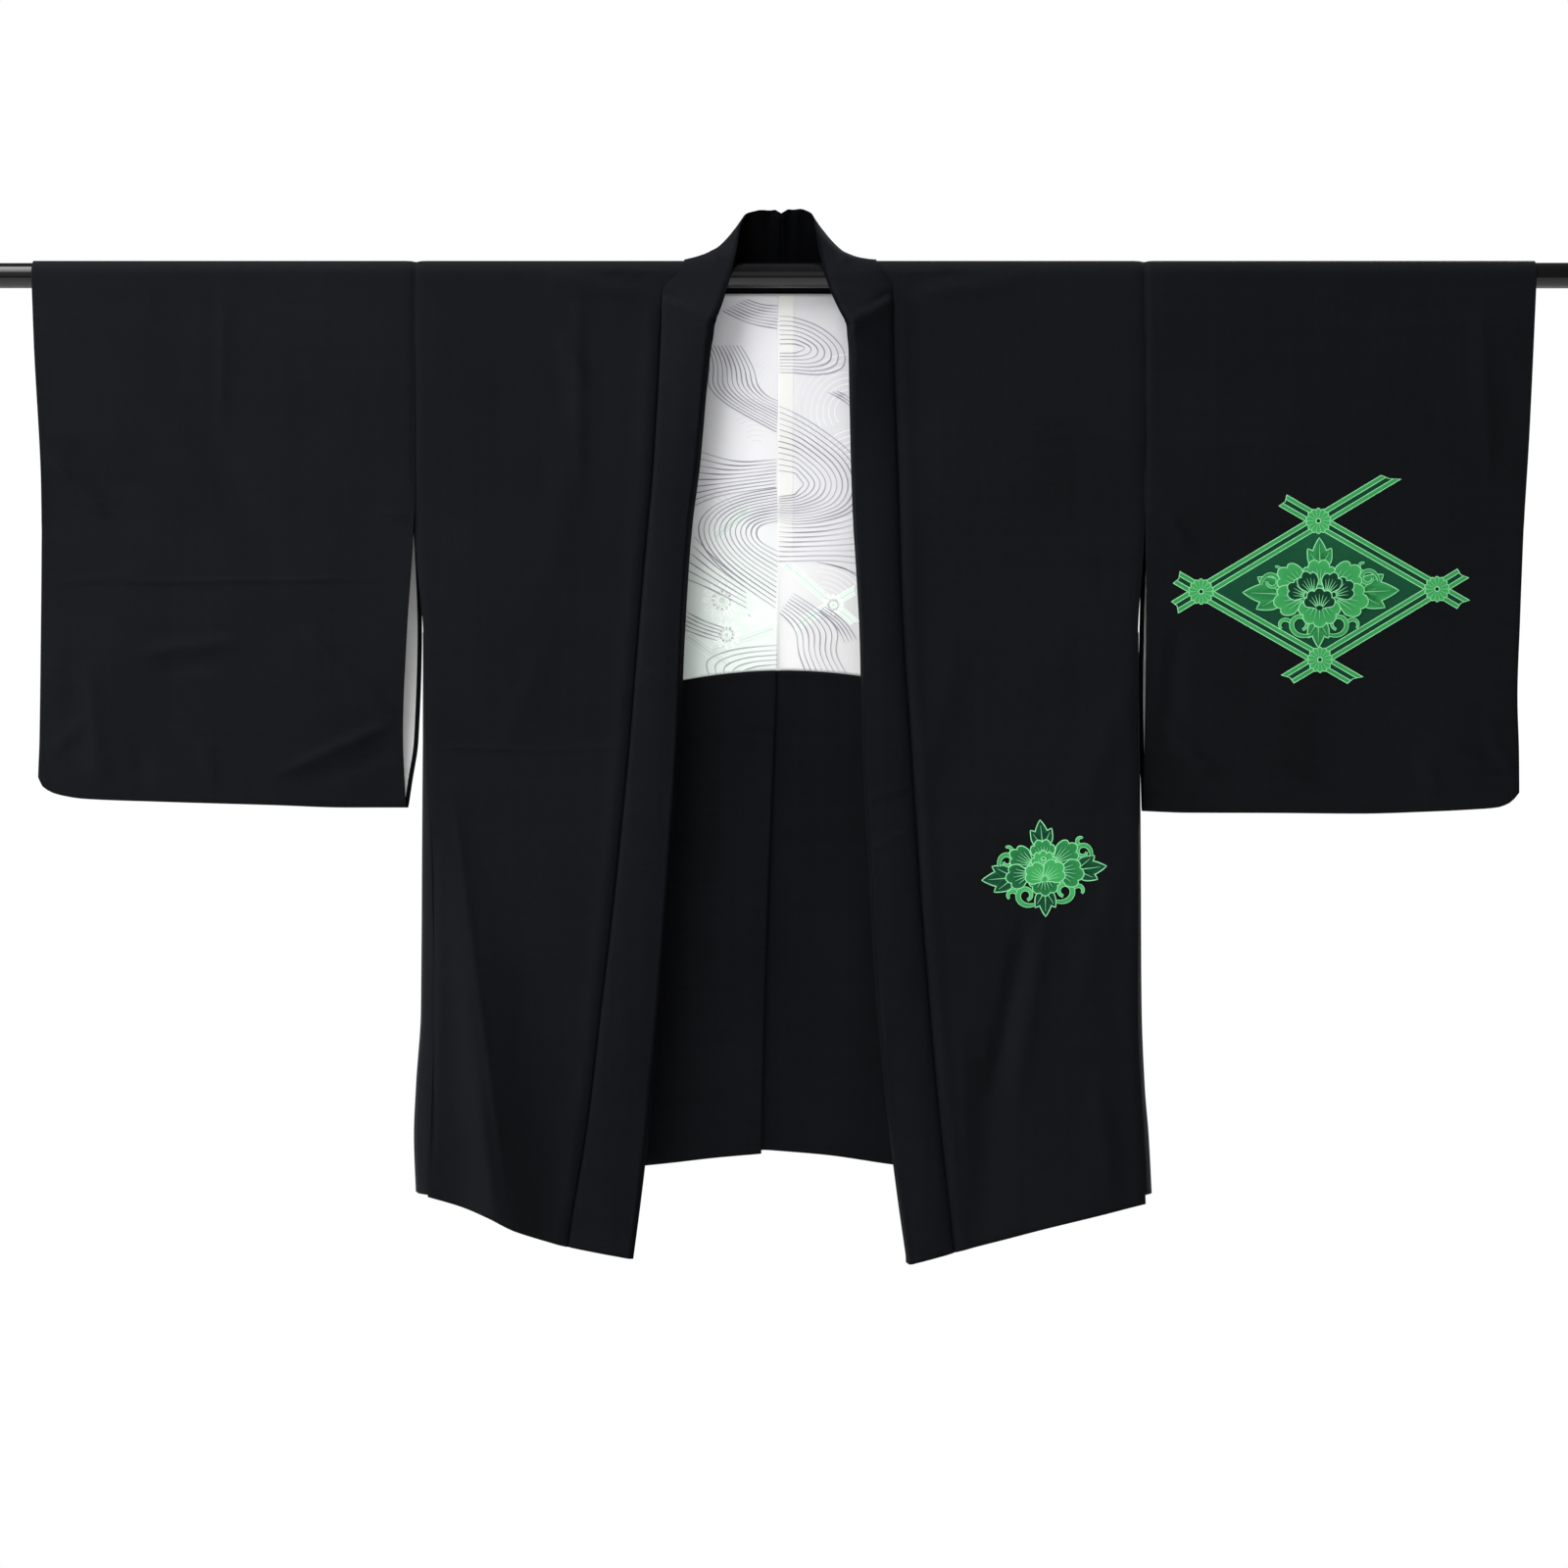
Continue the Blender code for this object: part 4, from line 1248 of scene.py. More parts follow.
def collar(side, finish):
    """The long band: a skin to either side of its lines, along their normals.

    Painted shade is kept under the name inside: from 0 to 0.6 round the bend and 1 on the inner skin,
    which darkens the rolled edge and the hollow behind the neck.
    """
    lines, before_bend = collar_lines(side)
    normal = unit(np.cross(np.gradient(lines, axis=0), np.gradient(lines, axis=1))) * -SIDES[side]
    outer = (lines + normal * BAND_FACE).reshape(-1, 3)
    inner = (lines + normal * (BAND_FACE - COLLAR_SILK)).reshape(-1, 3)
    faces = grid_faces(np.arange(len(outer)).reshape(lines.shape[:2]))
    made = cloth("collar", side, finish, (outer, inner), faces)
    # Painted shade: the roll round the bend and the whole inner skin are darkened through the inside number.
    turned = np.interp(np.arange(lines.shape[1]), [before_bend, before_bend + 5], [0, 0.6])
    paint(made, "inside", np.concatenate([np.tile(turned, len(lines)), np.ones(len(inner))]))
    return made


# Linings --------------------------------------------------------------------------------------

INSIDE_ROWS = 110
# How far a skin inside the back stops short of the side seam, and the least room left between skins.
SIDE_MARGIN = 0.0015
CLEAR = 0.0001
# The facing's upper edge: its drop at the centre back, and how much lower it is this far out. Then the
# depth and reach of its turned edge, and the reach of its press above the hem.
FACING_TOP_DROP = 0.3425
FACING_SLOPE = 0.0085
FACING_SLOPE_OUT = 0.088
FACING_TURN = 0.0009
FACING_TURN_REACH = 0.003
FACING_PRESS_REACH = 0.005
# The lining's top, the tuck's foot and how far above it the tuck fades, and the widths of its edges.
LINING_TOP_DROP = 0.0145
TUCK_FOOT_DROP = 0.290
TUCK_FADE = 0.080
TUCK_EDGES = (0.0012, 0.0016)
TUCK_PROUD = 0.0002
SEAM_LAP = 0.00004
SEAM_LAP_REACH = 0.001
# The columns of the sleeve's grid that its lining covers, and where it starts below the armhole.
SLEEVE_LINING_COLUMNS = slice(6, 30)
SLEEVE_LINING_DROP = ARMHOLE_DROP + 0.004


def facing_top(x):
    """The hem facing's upper edge: a shallow parabola, highest at the centre back."""
    return FACING_TOP_DROP + FACING_SLOPE * (x / FACING_SLOPE_OUT) ** 2


def seam_x(drop):
    """The lining's centre seam."""
    return curve(LINING_SEAM, "drop", "x", drop)


def in_tuck(x, drop):
    """1 on the pressed tuck and 0 off it: a smooth step at its right edge, its left edge and its foot."""
    right = smooth_step((x - seam_x(drop)) / TUCK_EDGES[0])
    left = smooth_step((curve(TUCK_EDGE, "drop", "x", drop) - x) / TUCK_EDGES[1])
    return right * left * smooth_step((TUCK_FOOT_DROP - drop) / TUCK_FADE)


def lining_out(side, x, drop):
    """How far the face of a skin inside the back panel stands behind the rod's axis."""
    return back_out(side, x, drop) - CLOTH - GAP - LINING


def lined_out(side, x, drop):
    """The lining's own face: that skin bridging the back seam's groove, with its tuck proud of it and
    its right half lapped under the left at their seam."""
    lapped = smooth_step(1 + (x - seam_x(drop)) / SEAM_LAP_REACH) if side == "right" else 0
    out = lining_out(side, x, drop) - back_groove(x, drop)
    return out - TUCK_PROUD * in_tuck(x, drop) + SEAM_LAP * lapped


def inside_grid(side, top, foot, seam, columns):
    """x and drop of a skin inside the back panel, between two lines given as functions of x.

    As in panel_grid, three rounds settle x and drop.
    """
    share = np.linspace(0, 1, INSIDE_ROWS)[:, None]
    drop = blend(0.2, 0.5, share)
    for _ in range(3):
        edge = curve(BACK[side], "drop", "side", drop) - SIDES[side] * SIDE_MARGIN
        x = blend(edge, curve(seam, "drop", "x", drop) - SIDES[side] * LAP, columns)
        drop = blend(top(x), foot(x), share)
    return x, drop


def inside_skin(kind, side, finish, grid):
    """A skin on the inside of the back: its face on the grid, its other face SILK behind it."""
    x, out, drop = grid
    skins = [flat_points(x, out, -drop), flat_points(x, out + SILK, -drop)]
    return cloth(kind, side, finish, skins, grid_faces(np.arange(x.size).reshape(x.shape)))


def back_lining(side, finish):
    """The lining from the neck to the facing, with columns packed about its seam and the tuck's edge.

    "tuck" is painted with the share of the tuck.
    """
    tuck = 1 - (TUCK_EDGE["x"][0] - LINING_SEAM["x"][0]) / CUTS["back_lining"][0]
    columns = clustered(64, 1.0, tuck, reach=0.008)

    def top(x):
        return LINING_TOP_DROP + 0 * x

    def foot(x):
        return facing_top(x) - GAP

    x, drop = inside_grid(side, top, foot, LINING_SEAM, columns)
    made = inside_skin("back_lining", side, finish, (x, lined_out(side, x, drop), drop))
    paint(made, "tuck", np.tile(in_tuck(x, drop).ravel(), 2))
    return made


def back_facing(side, finish):
    """The hem facing: a bell presses it against the panel above the hem, another turns its top edge."""

    def foot(x):
        return curve(BACK_HEM[side], "x", "drop", x)

    x, drop = inside_grid(side, facing_top, foot, CENTRE_BACK, clustered(64, 1.0))
    room = CLOTH + GAP + LINING - 2 * SILK - CLEAR
    out = lining_out(side, x, drop) + room * bell(foot(x) - drop, FACING_PRESS_REACH)
    out = out - FACING_TURN * bell(drop - facing_top(x), FACING_TURN_REACH)
    return inside_skin("back_facing", side, finish, (x, out, drop))


def sleeve_lining(side, finish):
    """A skin inside the sleeve's body-side opening: down the front layer, round the bottom, up the back."""
    skins = []
    for depth in (SILK + CLEAR, 2 * SILK + CLEAR):
        legs = []
        for layer in ("front", "back"):
            x, out, drop = sleeve_layer(side, layer, SILK)
            rows = int((drop[:, 0] > SLEEVE_LINING_DROP).sum())
            x, out, drop = (part[:rows, SLEEVE_LINING_COLUMNS] for part in (x, out, drop))
            out = np.maximum(out + SILK - depth, CLEAR)
            legs.append(np.stack([x, out if layer == "back" else -out, -drop], axis=2))
        skins.append(np.concatenate([legs[1][::-1], legs[0]]))
    faces = grid_faces(np.arange(skins[0][..., 0].size).reshape(skins[0].shape[:2]))
    return cloth("sleeve_lining", side, finish, [skin.reshape(-1, 3) for skin in skins], faces)


# Dyed drawing ---------------------------------------------------------------------------------

# The lining's lines: their widths, the ripples' tone, the water's layer, which lies over the flowers,
# its rounds of smoothing, and how much paler lines are on the tuck.
RIPPLE_WIDTH = 0.0010
RIPPLE_TONE = 0.90
WATER_WIDTH = 0.00125
WATER_LAYER = 10
WATER_ROUNDS = 40
TUCK_PALER = 0.20
# How far a mark's underside and the lowest mark's face stand off the cloth, and each layer's face off
# the one below it.
UNDER_LIFT = 0.00002
FIRST_LIFT = 0.00008
LAYER_LIFT = 0.000015


def smooth_path(points, per_span=16):
    """A curve through the given points: a Catmull-Rom cubic for each span."""
    points = np.concatenate([2 * points[:1] - points[1:2], points, 2 * points[-1:] - points[-2:-1]])
    before, start, end, after = (points[i : len(points) - 3 + i][:, None] for i in range(4))
    t = np.linspace(0, 1, per_span, endpoint=False)[None, :, None]
    line = start + 0.5 * t * (end - before)
    line = line + 0.5 * t * t * (2 * before - 5 * start + 4 * end - after)
    line = line + 0.5 * t**3 * (3 * start - before - 3 * end + after)
    return np.concatenate([line.reshape(-1, 2), points[-2:-1]])


class Drawing:
    """Flat marks laid on a cloth: each is a grid of places, a tone, and a layer above the cloth."""

    def __init__(self, face, origin=(0, 0), turn=0, scale=1):
        """A drawing on a face y(x, drop); its places, (right, up), are turned, scaled and moved there."""
        self.face = face
        self.origin = np.array(origin)
        angle = np.radians(turn)
        self.axes = scale * np.array([[np.cos(angle), -np.sin(angle)], [-np.sin(angle), -np.cos(angle)]])
        self.layer = 0
        self.points, self.faces, self.tones = [], [], []

    def mark(self, grid, tone, above=0):
        """Lays a grid of places on the cloth as a thin closed skin."""
        x, drop = np.moveaxis(np.asarray(grid) @ self.axes.T, 2, 0) + self.origin[:, None, None]
        y = self.face(x, drop)
        top = flat_points(x, y - FIRST_LIFT - LAYER_LIFT * (self.layer + above), -drop)
        under = flat_points(x, y - UNDER_LIFT, -drop)
        points, faces = two_skins(top, under, grid_faces(np.arange(x.size).reshape(x.shape)))
        self.faces.append(faces + sum(map(len, self.points)))
        self.points.append(points)
        self.tones.append(np.tile(np.broadcast_to(tone, x.shape).ravel(), 2))

    def stroke(self, path, width, tone, above=1):
        """A brush line: its path moved half its width to either side."""
        ahead = unit(np.gradient(path, axis=0))
        aside = np.stack([-ahead[:, 1], ahead[:, 0]], axis=1) * np.reshape(width, (-1, 1)) / 2
        self.mark(np.stack([path - aside, path, path + aside], axis=1), tone, above)

    def finish(self, name, dye, slot):
        """Joins the marks into one piece, each vertex painted with its mark's tone."""
        made = piece(name, np.concatenate(self.points), np.concatenate(self.faces), dye, smooth=False)
        paint(made, "tone", np.concatenate(self.tones))
        return made


def heading(degrees):
    """A step of length one at an angle from the right: its cosine and its sine."""
    return np.stack([np.cos(np.radians(degrees)), np.sin(np.radians(degrees))], axis=-1)


def petal(drawing, root, turn, length, spread, lobes, tones, line):
    """A fan from its root, outlined, with veins that taper outwards.

    Its reach falls off to the sides as a parabola, is scalloped by a rectified sine, and the fan opens
    out from the root as a quarter of a sine.
    """
    out = np.linspace(0.05, 1, 10)[:, None]
    side = np.linspace(-1, 1, 12 * lobes + 1)
    scallop = np.abs(np.sin(lobes * np.pi * (side + 1) / 2)) ** 0.7
    reach = length * (1 - 0.30 * side**2) * (0.88 + 0.12 * scallop)
    open_out = 0.62 + 0.38 * np.sin(out * np.pi / 2)
    grid = root + (out * reach)[..., None] * heading(turn + spread * side * open_out)
    drawing.mark(grid, blend(tones[0], tones[1], out**0.8))
    left, edge, right = grid[2:, 0], grid[-1], grid[2:, -1]
    drawing.stroke(np.concatenate([left, edge[1:], right[-2::-1]]), line, 1.0)
    for share in np.linspace(-0.62, 0.62, lobes + 2):
        vein = out[2:8] * reach.max() * (1 - 0.25 * share**2) * 0.93
        path = root + vein * heading(turn + spread * share * (0.75 + 0.25 * out[2:8, 0]))
        drawing.stroke(path, line * np.linspace(1.4, 0.3, 6), 0.93)
    drawing.layer += 2


def leaf(drawing, root, turn, length, tones, line):
    """Three pointed blades from one root in one outline, each as wide as a skewed sine along its length."""
    out = np.linspace(0, 1, 16)[:, None]
    across = np.linspace(-1, 1, 5)[None, :, None]
    blades = []
    for swing, share in ((38, 0.75), (-38, 0.75), (0, 1.0)):
        ahead = heading(turn + swing)
        aside = np.array([-ahead[1], ahead[0]])
        middle = root + length * share * (out * ahead - np.sign(swing) * 0.10 * out**2 * aside)
        half = 0.24 * length * share**0.5 * np.sin(np.pi * out**0.8)
        blades.append((middle, middle[:, None] + half[:, None] * across * aside))
    for _, grid in blades:
        drawing.stroke(np.concatenate([grid[1:, 0], grid[-2::-1, -1]]), 2 * line, 1.0, 0)
    for _, grid in blades:
        drawing.mark(grid, blend(tones[0], tones[1], np.abs(across[..., 0]) * np.ones_like(out)), 1)
    for middle, _ in blades:
        drawing.stroke(middle[2:13], line * np.linspace(1.1, 0.3, 11), 0.95, 2)
    drawing.layer += 3


def scroll(drawing, root, turn, length, curl, width, tones, line):
    """A tendril whose heading turns faster towards its tip, with a short flick the other way."""
    for start, size, bend, share in ((0.40, 0.42, -0.60 * curl, 0.75), (0.0, 1.0, curl, 1.0)):
        along = np.linspace(0, 1, 28)
        main = turn + curl * start**1.5
        steps = heading(main + bend * along**1.5) * (length * size / 27)
        lead = heading(turn + curl * np.linspace(0, start, 20) ** 1.5)
        base = root + (lead * length * start / 20).sum(axis=0)
        path = base + np.cumsum(steps, axis=0)
        swell = width * share * (0.45 + 0.55 * np.sin(np.pi * along**0.8))
        drawing.stroke(path, swell + 1.6 * line, 1.0, 0)
        drawing.stroke(path, swell, blend(tones[0], tones[1], along)[:, None], 1)
        drawing.layer += 2


def rosette(drawing, centre, radius, petals, tones, line):
    """A round flower head: a disc with a scalloped rim, a line between each two petals, and an eye."""
    angle = np.linspace(0, 360, petals * 6 + 1)
    rim = radius * (0.86 + 0.14 * np.abs(np.sin(np.radians(angle) * petals / 2)))
    out = np.linspace(0.02, 1, 5)[:, None]
    grid = centre + (out * rim)[..., None] * heading(angle)
    drawing.mark(grid, blend(tones[0], tones[1], out))
    drawing.stroke(grid[-1], line, 1.0)
    for turn in np.arange(petals) * 360 / petals:
        path = centre + np.linspace(0.30, 0.88, 4)[:, None] * radius * heading(turn)
        drawing.stroke(path, line * 0.7, 0.92)
    eye = centre + 0.20 * radius * heading(np.linspace(0, 360, 17))
    drawing.stroke(eye, line * 1.2, 1.0, 2)
    drawing.mark(centre + (out[..., None] * 0.13 * radius) * heading(np.linspace(0, 360, 17)), 0.0, 3)
    drawing.layer += 5


def flower_head(drawing, centre, radius, petals, tones, line):
    """Narrow petals all round a small eye, each outlined."""
    level = drawing.layer
    for turn in np.arange(petals) * 360 / petals:
        drawing.layer = level
        root = centre + 0.22 * radius * heading(turn)
        petal(drawing, root, turn, 0.78 * radius, 160 / petals, 1, tones, line)
    ring = 0.20 * radius * heading(np.linspace(0, 360, 17))
    drawing.mark(centre + np.linspace(0.1, 1, 3)[:, None, None] * ring, tones[0])
    drawing.stroke(centre + ring, line, 1.0)
    drawing.layer += 2


def ribbon(drawing, start, end, width, leads, tones=(0.10, 0.62)):
    """A straight ribbon in lengthwise stripes; its slanting ends are notched in the middle.

    A lead is how far, in widths, an end's left side runs ahead of its right, seen heading outward.
    """
    start, end = np.array(start, float), np.array(end, float)
    ahead = unit(end - start)
    aside = np.array([-ahead[1], ahead[0]])
    along = np.linspace(0, 1, 30)[:, None]
    middle, sides = tones
    stripes = ((-1, 1, 1.0, 0), (-0.88, -0.42, sides, 1), (-0.30, 0.30, middle, 1), (0.42, 0.88, sides, 1))
    for low, high, tone, hem in stripes:
        across = np.linspace(low, high, 5)
        lean = [0.5 * width * lead * across for lead in leads]
        notch = 0.20 * width * (1 - np.abs(across)) + 0.06 * width * hem
        place = blend(lean[0] + notch, np.linalg.norm(end - start) + lean[1] - notch, along)
        grid = start + place[..., None] * ahead + (across * width / 2)[None, :, None] * aside
        drawing.mark(grid, tone, hem)
    drawing.layer += 2


def peony(drawing, petals, leaves, scrolls, line):
    """Leaves, tendrils and petals, laid from back to front."""
    for right, up, turn, length, low, high in each(leaves):
        leaf(drawing, np.array([right, up]), turn, length, (low, high), line)
    for right, up, turn, length, curl, width, low, high in each(scrolls):
        scroll(drawing, np.array([right, up]), turn, length, curl, width, (low, high), line * 0.8)
    for right, up, turn, length, spread, lobes, low, high in each(petals):
        petal(drawing, np.array([right, up]), turn, length, spread, int(lobes), (low, high), line)


def sleeve_drawing(dye):
    """A peony in a diamond of four crossing ribbons, with a rosette over each crossing.

    The diamond's field is a blend of its four corners, its tone a slow slope across it.
    """

    def face(x, drop):
        return -sleeve_out("left", "front", x, drop)

    drawing = Drawing(face, origin=(0.4628, 0.2735), turn=0.7, scale=0.001)
    corners = DIAMOND * np.array([(-1, 0), (0, 1), (1, 0), (0, -1)])
    u, v = (np.linspace(0, 1, 25)[:, None, None], np.linspace(0, 1, 25)[None, :, None])
    field = blend(blend(corners[0], corners[1], u), blend(corners[3], corners[2], u), v)
    drawing.mark(field, 0.20 + 0.09 * u[..., 0] - 0.05 * v[..., 0])
    drawing.layer += 1
    for first, last, rise, before, after, first_lead, last_lead in each(DIAMOND_RIBBONS):
        way = unit(DIAMOND) * np.array([1, rise])
        start, end = corners[int(first)] - way * before, corners[int(last)] + way * after
        ribbon(drawing, start, end, 12.2, (first_lead, last_lead))
    for corner in corners:
        rosette(drawing, corner, 11.0, 14, (0.58, 0.76), 0.7)
    peony(drawing, SLEEVE_PETALS, SLEEVE_LEAVES, SLEEVE_SCROLLS, 0.75)
    return drawing.finish("sleeve_drawing", dye, "outer_cloth")


def front_drawing(dye):
    """A single peony with four leaves and four tendrils."""

    def face(x, drop):
        return -front_out("left", x, drop)

    drawing = Drawing(face, origin=(0.2240, 0.5135), turn=3, scale=0.00096)
    peony(drawing, FRONT_PETALS, FRONT_LEAVES, FRONT_SCROLLS, 0.85)
    return drawing.finish("front_drawing", dye, "outer_cloth")


def line_mark(drawing, side, path, width, tone):
    """One water line in metres, kept to its own half of the lining and paler where it crosses the tuck."""
    x, drop = path[:, 0], -path[:, 1]
    seam = seam_x(drop)
    inside = (x - seam) * SIDES[side] > 0
    inside[1:-1] |= inside[2:] | inside[:-2]
    inside &= drop < facing_top(x) - 0.0006
    x = SIDES[side] * np.maximum(x * SIDES[side], seam * SIDES[side])
    path, x, drop = np.stack([x, -drop], axis=1)[inside], x[inside], drop[inside]
    if len(path) > 2:
        shown = np.broadcast_to(tone, inside.shape)[inside] + TUCK_PALER * in_tuck(x, drop)
        wide = np.broadcast_to(width, inside.shape)[inside]
        drawing.stroke(path, wide, shown[:, None])


def ripple_lines(drawing, side):
    """Faint arcs about a few middles, their radii evenly spaced."""
    for x, drop, first, last, count, start, end in each(RIPPLES[side]):
        for radius in np.linspace(first, last, int(count)):
            turns = np.linspace(start, end, 40) + 6 * np.sin(radius)
            path = np.array([x, -drop]) / 1000 + radius / 1000 * heading(turns)
            line_mark(drawing, side, path, RIPPLE_WIDTH, RIPPLE_TONE)


def water_lines(side, dye):
    """Flowing water: bundles of lines, each line a share of the way between its bundle's two edges.

    Each path is smoothed by averaging each point with its neighbours, over and over. Each line is
    thinner towards its ends, and swells and darkens along its length as slow sines.
    """
    drawing = Drawing(lambda x, drop: lined_out(side, x, drop))
    ripple_lines(drawing, side)
    drawing.layer = WATER_LAYER
    for order, (count, tone, (first, last)) in enumerate(WATER[side]):
        for number in range(count):
            path = smooth_path(blend(first, last, number / (count - 1)))
            for _ in range(WATER_ROUNDS):
                path[1:-1] = (path[:-2] + 2 * path[1:-1] + path[2:]) / 4
            along = np.linspace(0, np.pi, len(path))
            swell = 0.80 + 0.20 * np.sin(3 * along + number + order)
            taper = 0.3 + 0.7 * np.sin(along) ** 0.3
            shade = tone + 0.10 * np.sin(2.4 * number + order) + 0.22 * np.cos(2 * along + 0.4 * number)
            line_mark(drawing, side, path, WATER_WIDTH * (swell * taper), shade - 0.08)
    return drawing.finish("water_lines_" + side, dye, "lining_cloth")


def pale_flowers(side, dye):
    """Woven ground figures above the facing: pale crossing ribbons, flower heads and tendrils."""
    drawing = Drawing(lambda x, drop: lined_out(side, x, drop), scale=0.001)
    for layer, x_a, up_a, x_b, up_b in each(PALE_RIBBONS[side]):
        drawing.layer = layer
        ribbon(drawing, (x_a, up_a), (x_b, up_b), 8, (0.5, 0.5), (0.25, 0.40))
    for layer, x, up, radius, eye_tone, line in each(PALE_HEADS[side]):
        drawing.layer = layer
        flower_head(drawing, np.array([x, up]), radius, 12, (eye_tone, 0.75), line)
    for layer, x, up, turn, curl in each(PALE_TENDRILS[side]):
        drawing.layer = layer
        scroll(drawing, np.array([x, up]), turn, 24, curl, 2.0, (0.7, 0.9), 0.5)
    return drawing.finish("pale_flowers_" + side, dye, "lining_cloth")


# Finishes -------------------------------------------------------------------------------------

# Weaves: the threads' spacing, the relief's depth and the crepe grain's size.
CREPE_WEAVE = (0.00055, 0.00010, 0.0011)
DYE_WEAVE = (0.00055, 0.00004, 0.0011)
LINING_WEAVE = (0.00035, 0.00003, 0.0008)

# Colours, each ramp as stops with a place and a colour.
CREPE_BLACKS = ((0.35, (0.0019, 0.0022, 0.0030)), (0.65, (0.0041, 0.0047, 0.0062)))
COLLAR_BLACKS = ((0.35, (0.0023, 0.0026, 0.0036)), (0.65, (0.0047, 0.0053, 0.0069)))
# The facing's blacks are a little lighter than the body's: a painted lift against the shade that the collars
# cast on it.
FACING_BLACKS = ((0.35, (0.0022, 0.0025, 0.0034)), (0.65, (0.0046, 0.0051, 0.0066)))
LINING_WHITES = ((0.0, (0.88, 0.88, 0.87)), (0.35, (0.85, 0.85, 0.86)), (1.0, (0.80, 0.80, 0.83)))
CLOUD_GREEN = (0.76, 0.86, 0.79, 1)
TUCK_CREAM = (0.88, 0.88, 0.85, 1)
# The sleeve lining's whites: the silk's own white, raised with painted light for the glow through the thin
# silk.
SLEEVE_WHITES_AND_PAINTED_GLOW = ((0.3, (0.93, 0.93, 0.92)), (0.7, (0.97, 0.97, 0.97)))
ENAMEL_BLACKS = ((0.3, (0.0025, 0.0025, 0.003)), (0.7, (0.004, 0.004, 0.005)))
FLOOR_WHITES = ((0.3, (0.82, 0.82, 0.82)), (0.7, (0.86, 0.86, 0.86)))
DYED_GREENS = (
    (0.00, (0.002, 0.020, 0.010)),
    (0.25, (0.006, 0.062, 0.028)),
    (0.50, (0.021, 0.195, 0.056)),
    (0.72, (0.044, 0.325, 0.088)),
    (0.85, (0.080, 0.440, 0.145)),
    (1.00, (0.240, 0.650, 0.320)),
)
WATER_MAUVES = (
    (0.0, (0.30, 0.28, 0.34)),
    (0.4, (0.46, 0.45, 0.51)),
    (0.75, (0.68, 0.68, 0.71)),
    (1.0, (0.84, 0.84, 0.86)),
)
FLOWER_GREENS = ((0.0, (0.58, 0.70, 0.62)), (0.5, (0.74, 0.84, 0.78)), (1.0, (0.93, 0.96, 0.94)))


class Recipe:
    """A new material's node tree, with short ways to add and join its nodes."""

    def __init__(self, name):
        """A material of this name, with Object coordinates as its place."""
        self.material = bpy.data.materials.new(name)
        self.material.use_nodes = True
        self.tree = self.material.node_tree
        self.shader = self.tree.nodes["Principled BSDF"]
        self.place = self.node("ShaderNodeTexCoord").outputs["Object"]

    def node(self, kind, inputs=(), **settings):
        """A node with its settings made and its inputs set, or joined to another node's output."""
        made = self.tree.nodes.new(kind)
        for key, value in settings.items():
            setattr(made, key, value)
        for key, value in dict(inputs).items():
            if isinstance(value, bpy.types.NodeSocket):
                self.tree.links.new(value, made.inputs[key])
            else:
                made.inputs[key].default_value = value
        return made

    def link(self, source, key):
        """Joins an output to one of the shader's inputs."""
        self.tree.links.new(source, self.shader.inputs[key])

    def set(self, **values):
        """Sets the shader's inputs, an underscore standing for a space."""
        for key, value in values.items():
            self.shader.inputs[key.replace("_", " ")].default_value = value

    def noise(self, scale, detail=3.0, stretch=(1, 1, 1)):
        """Cloudy noise over the place, which is first multiplied by a stretch along each axis."""
        place = self.node("ShaderNodeMapping", {"Vector": self.place, "Scale": stretch}).outputs["Vector"]
        inputs = {"Vector": place, "Scale": scale, "Detail": detail}
        return self.node("ShaderNodeTexNoise", inputs).outputs["Fac"]

    def ramp(self, value, *stops):
        """The colour at a value, between stops that each have a place and a colour."""
        made = self.node("ShaderNodeValToRGB", {"Fac": value})
        elements = made.color_ramp.elements
        while len(elements) < len(stops):
            elements.new(0.5)
        for element, (place, colour) in zip(elements, stops):
            element.position = place
            element.color = (*colour, 1)
        return made.outputs["Color"]

    def threads(self, spacing, axis):
        """Round threads side by side: a sine across the given axis."""
        inputs = {"Vector": self.place, "Scale": 0.314 / spacing, "Distortion": 0.3, "Detail": 1.0}
        return self.node("ShaderNodeTexWave", inputs, bands_direction=axis, wave_profile="SIN").outputs["Fac"]

    def painted(self, name):
        """The number that paint() kept on the piece under this name."""
        return self.node("ShaderNodeAttribute", attribute_name=name).outputs["Fac"]

    def between(self, value, start, end, least=0.0):
        """How far a value has gone from start to end: from 0, or the least given, to 1."""
        inputs = {"Value": value, "From Min": start, "From Max": end, "To Min": least}
        return self.node("ShaderNodeMapRange", inputs).outputs["Result"]

    def scaled(self, colour, share):
        """A colour multiplied by a share."""
        inputs = {"Vector": colour, "Scale": share}
        return self.node("ShaderNodeVectorMath", inputs, operation="SCALE").outputs["Vector"]

    def maths(self, operation, *values):
        """A sum or product of numbers or outputs, by the operation's name."""
        made = self.node("ShaderNodeMath", operation=operation)
        for socket, value in zip(made.inputs, values):
            if isinstance(value, bpy.types.NodeSocket):
                self.tree.links.new(value, socket)
            else:
                socket.default_value = value
        return made.outputs[0]

    def mix(self, share, first, second):
        """The first colour, moved by a share of the way to the second."""
        inputs = {"Factor": share, "A": first, "B": second}
        return self.node("ShaderNodeMix", inputs, data_type="RGBA").outputs["Result"]

    def raise_surface(self, height, distance):
        """A relief: a height from 0 to 1 over a distance."""
        inputs = {"Height": height, "Distance": distance, "Strength": 1.0}
        self.link(self.node("ShaderNodeBump", inputs).outputs["Normal"], "Normal")

    def weave(self, spacing, depth, grain):
        """Crossed threads with an uneven crepe grain over them, raised as a bump."""
        crossed = self.maths("MULTIPLY", self.threads(spacing, "X"), self.threads(spacing, "Z"))
        rough = self.maths("MULTIPLY", self.noise(1 / grain, 2.0), 1.6)
        self.raise_surface(self.maths("ADD", crossed, rough), depth)


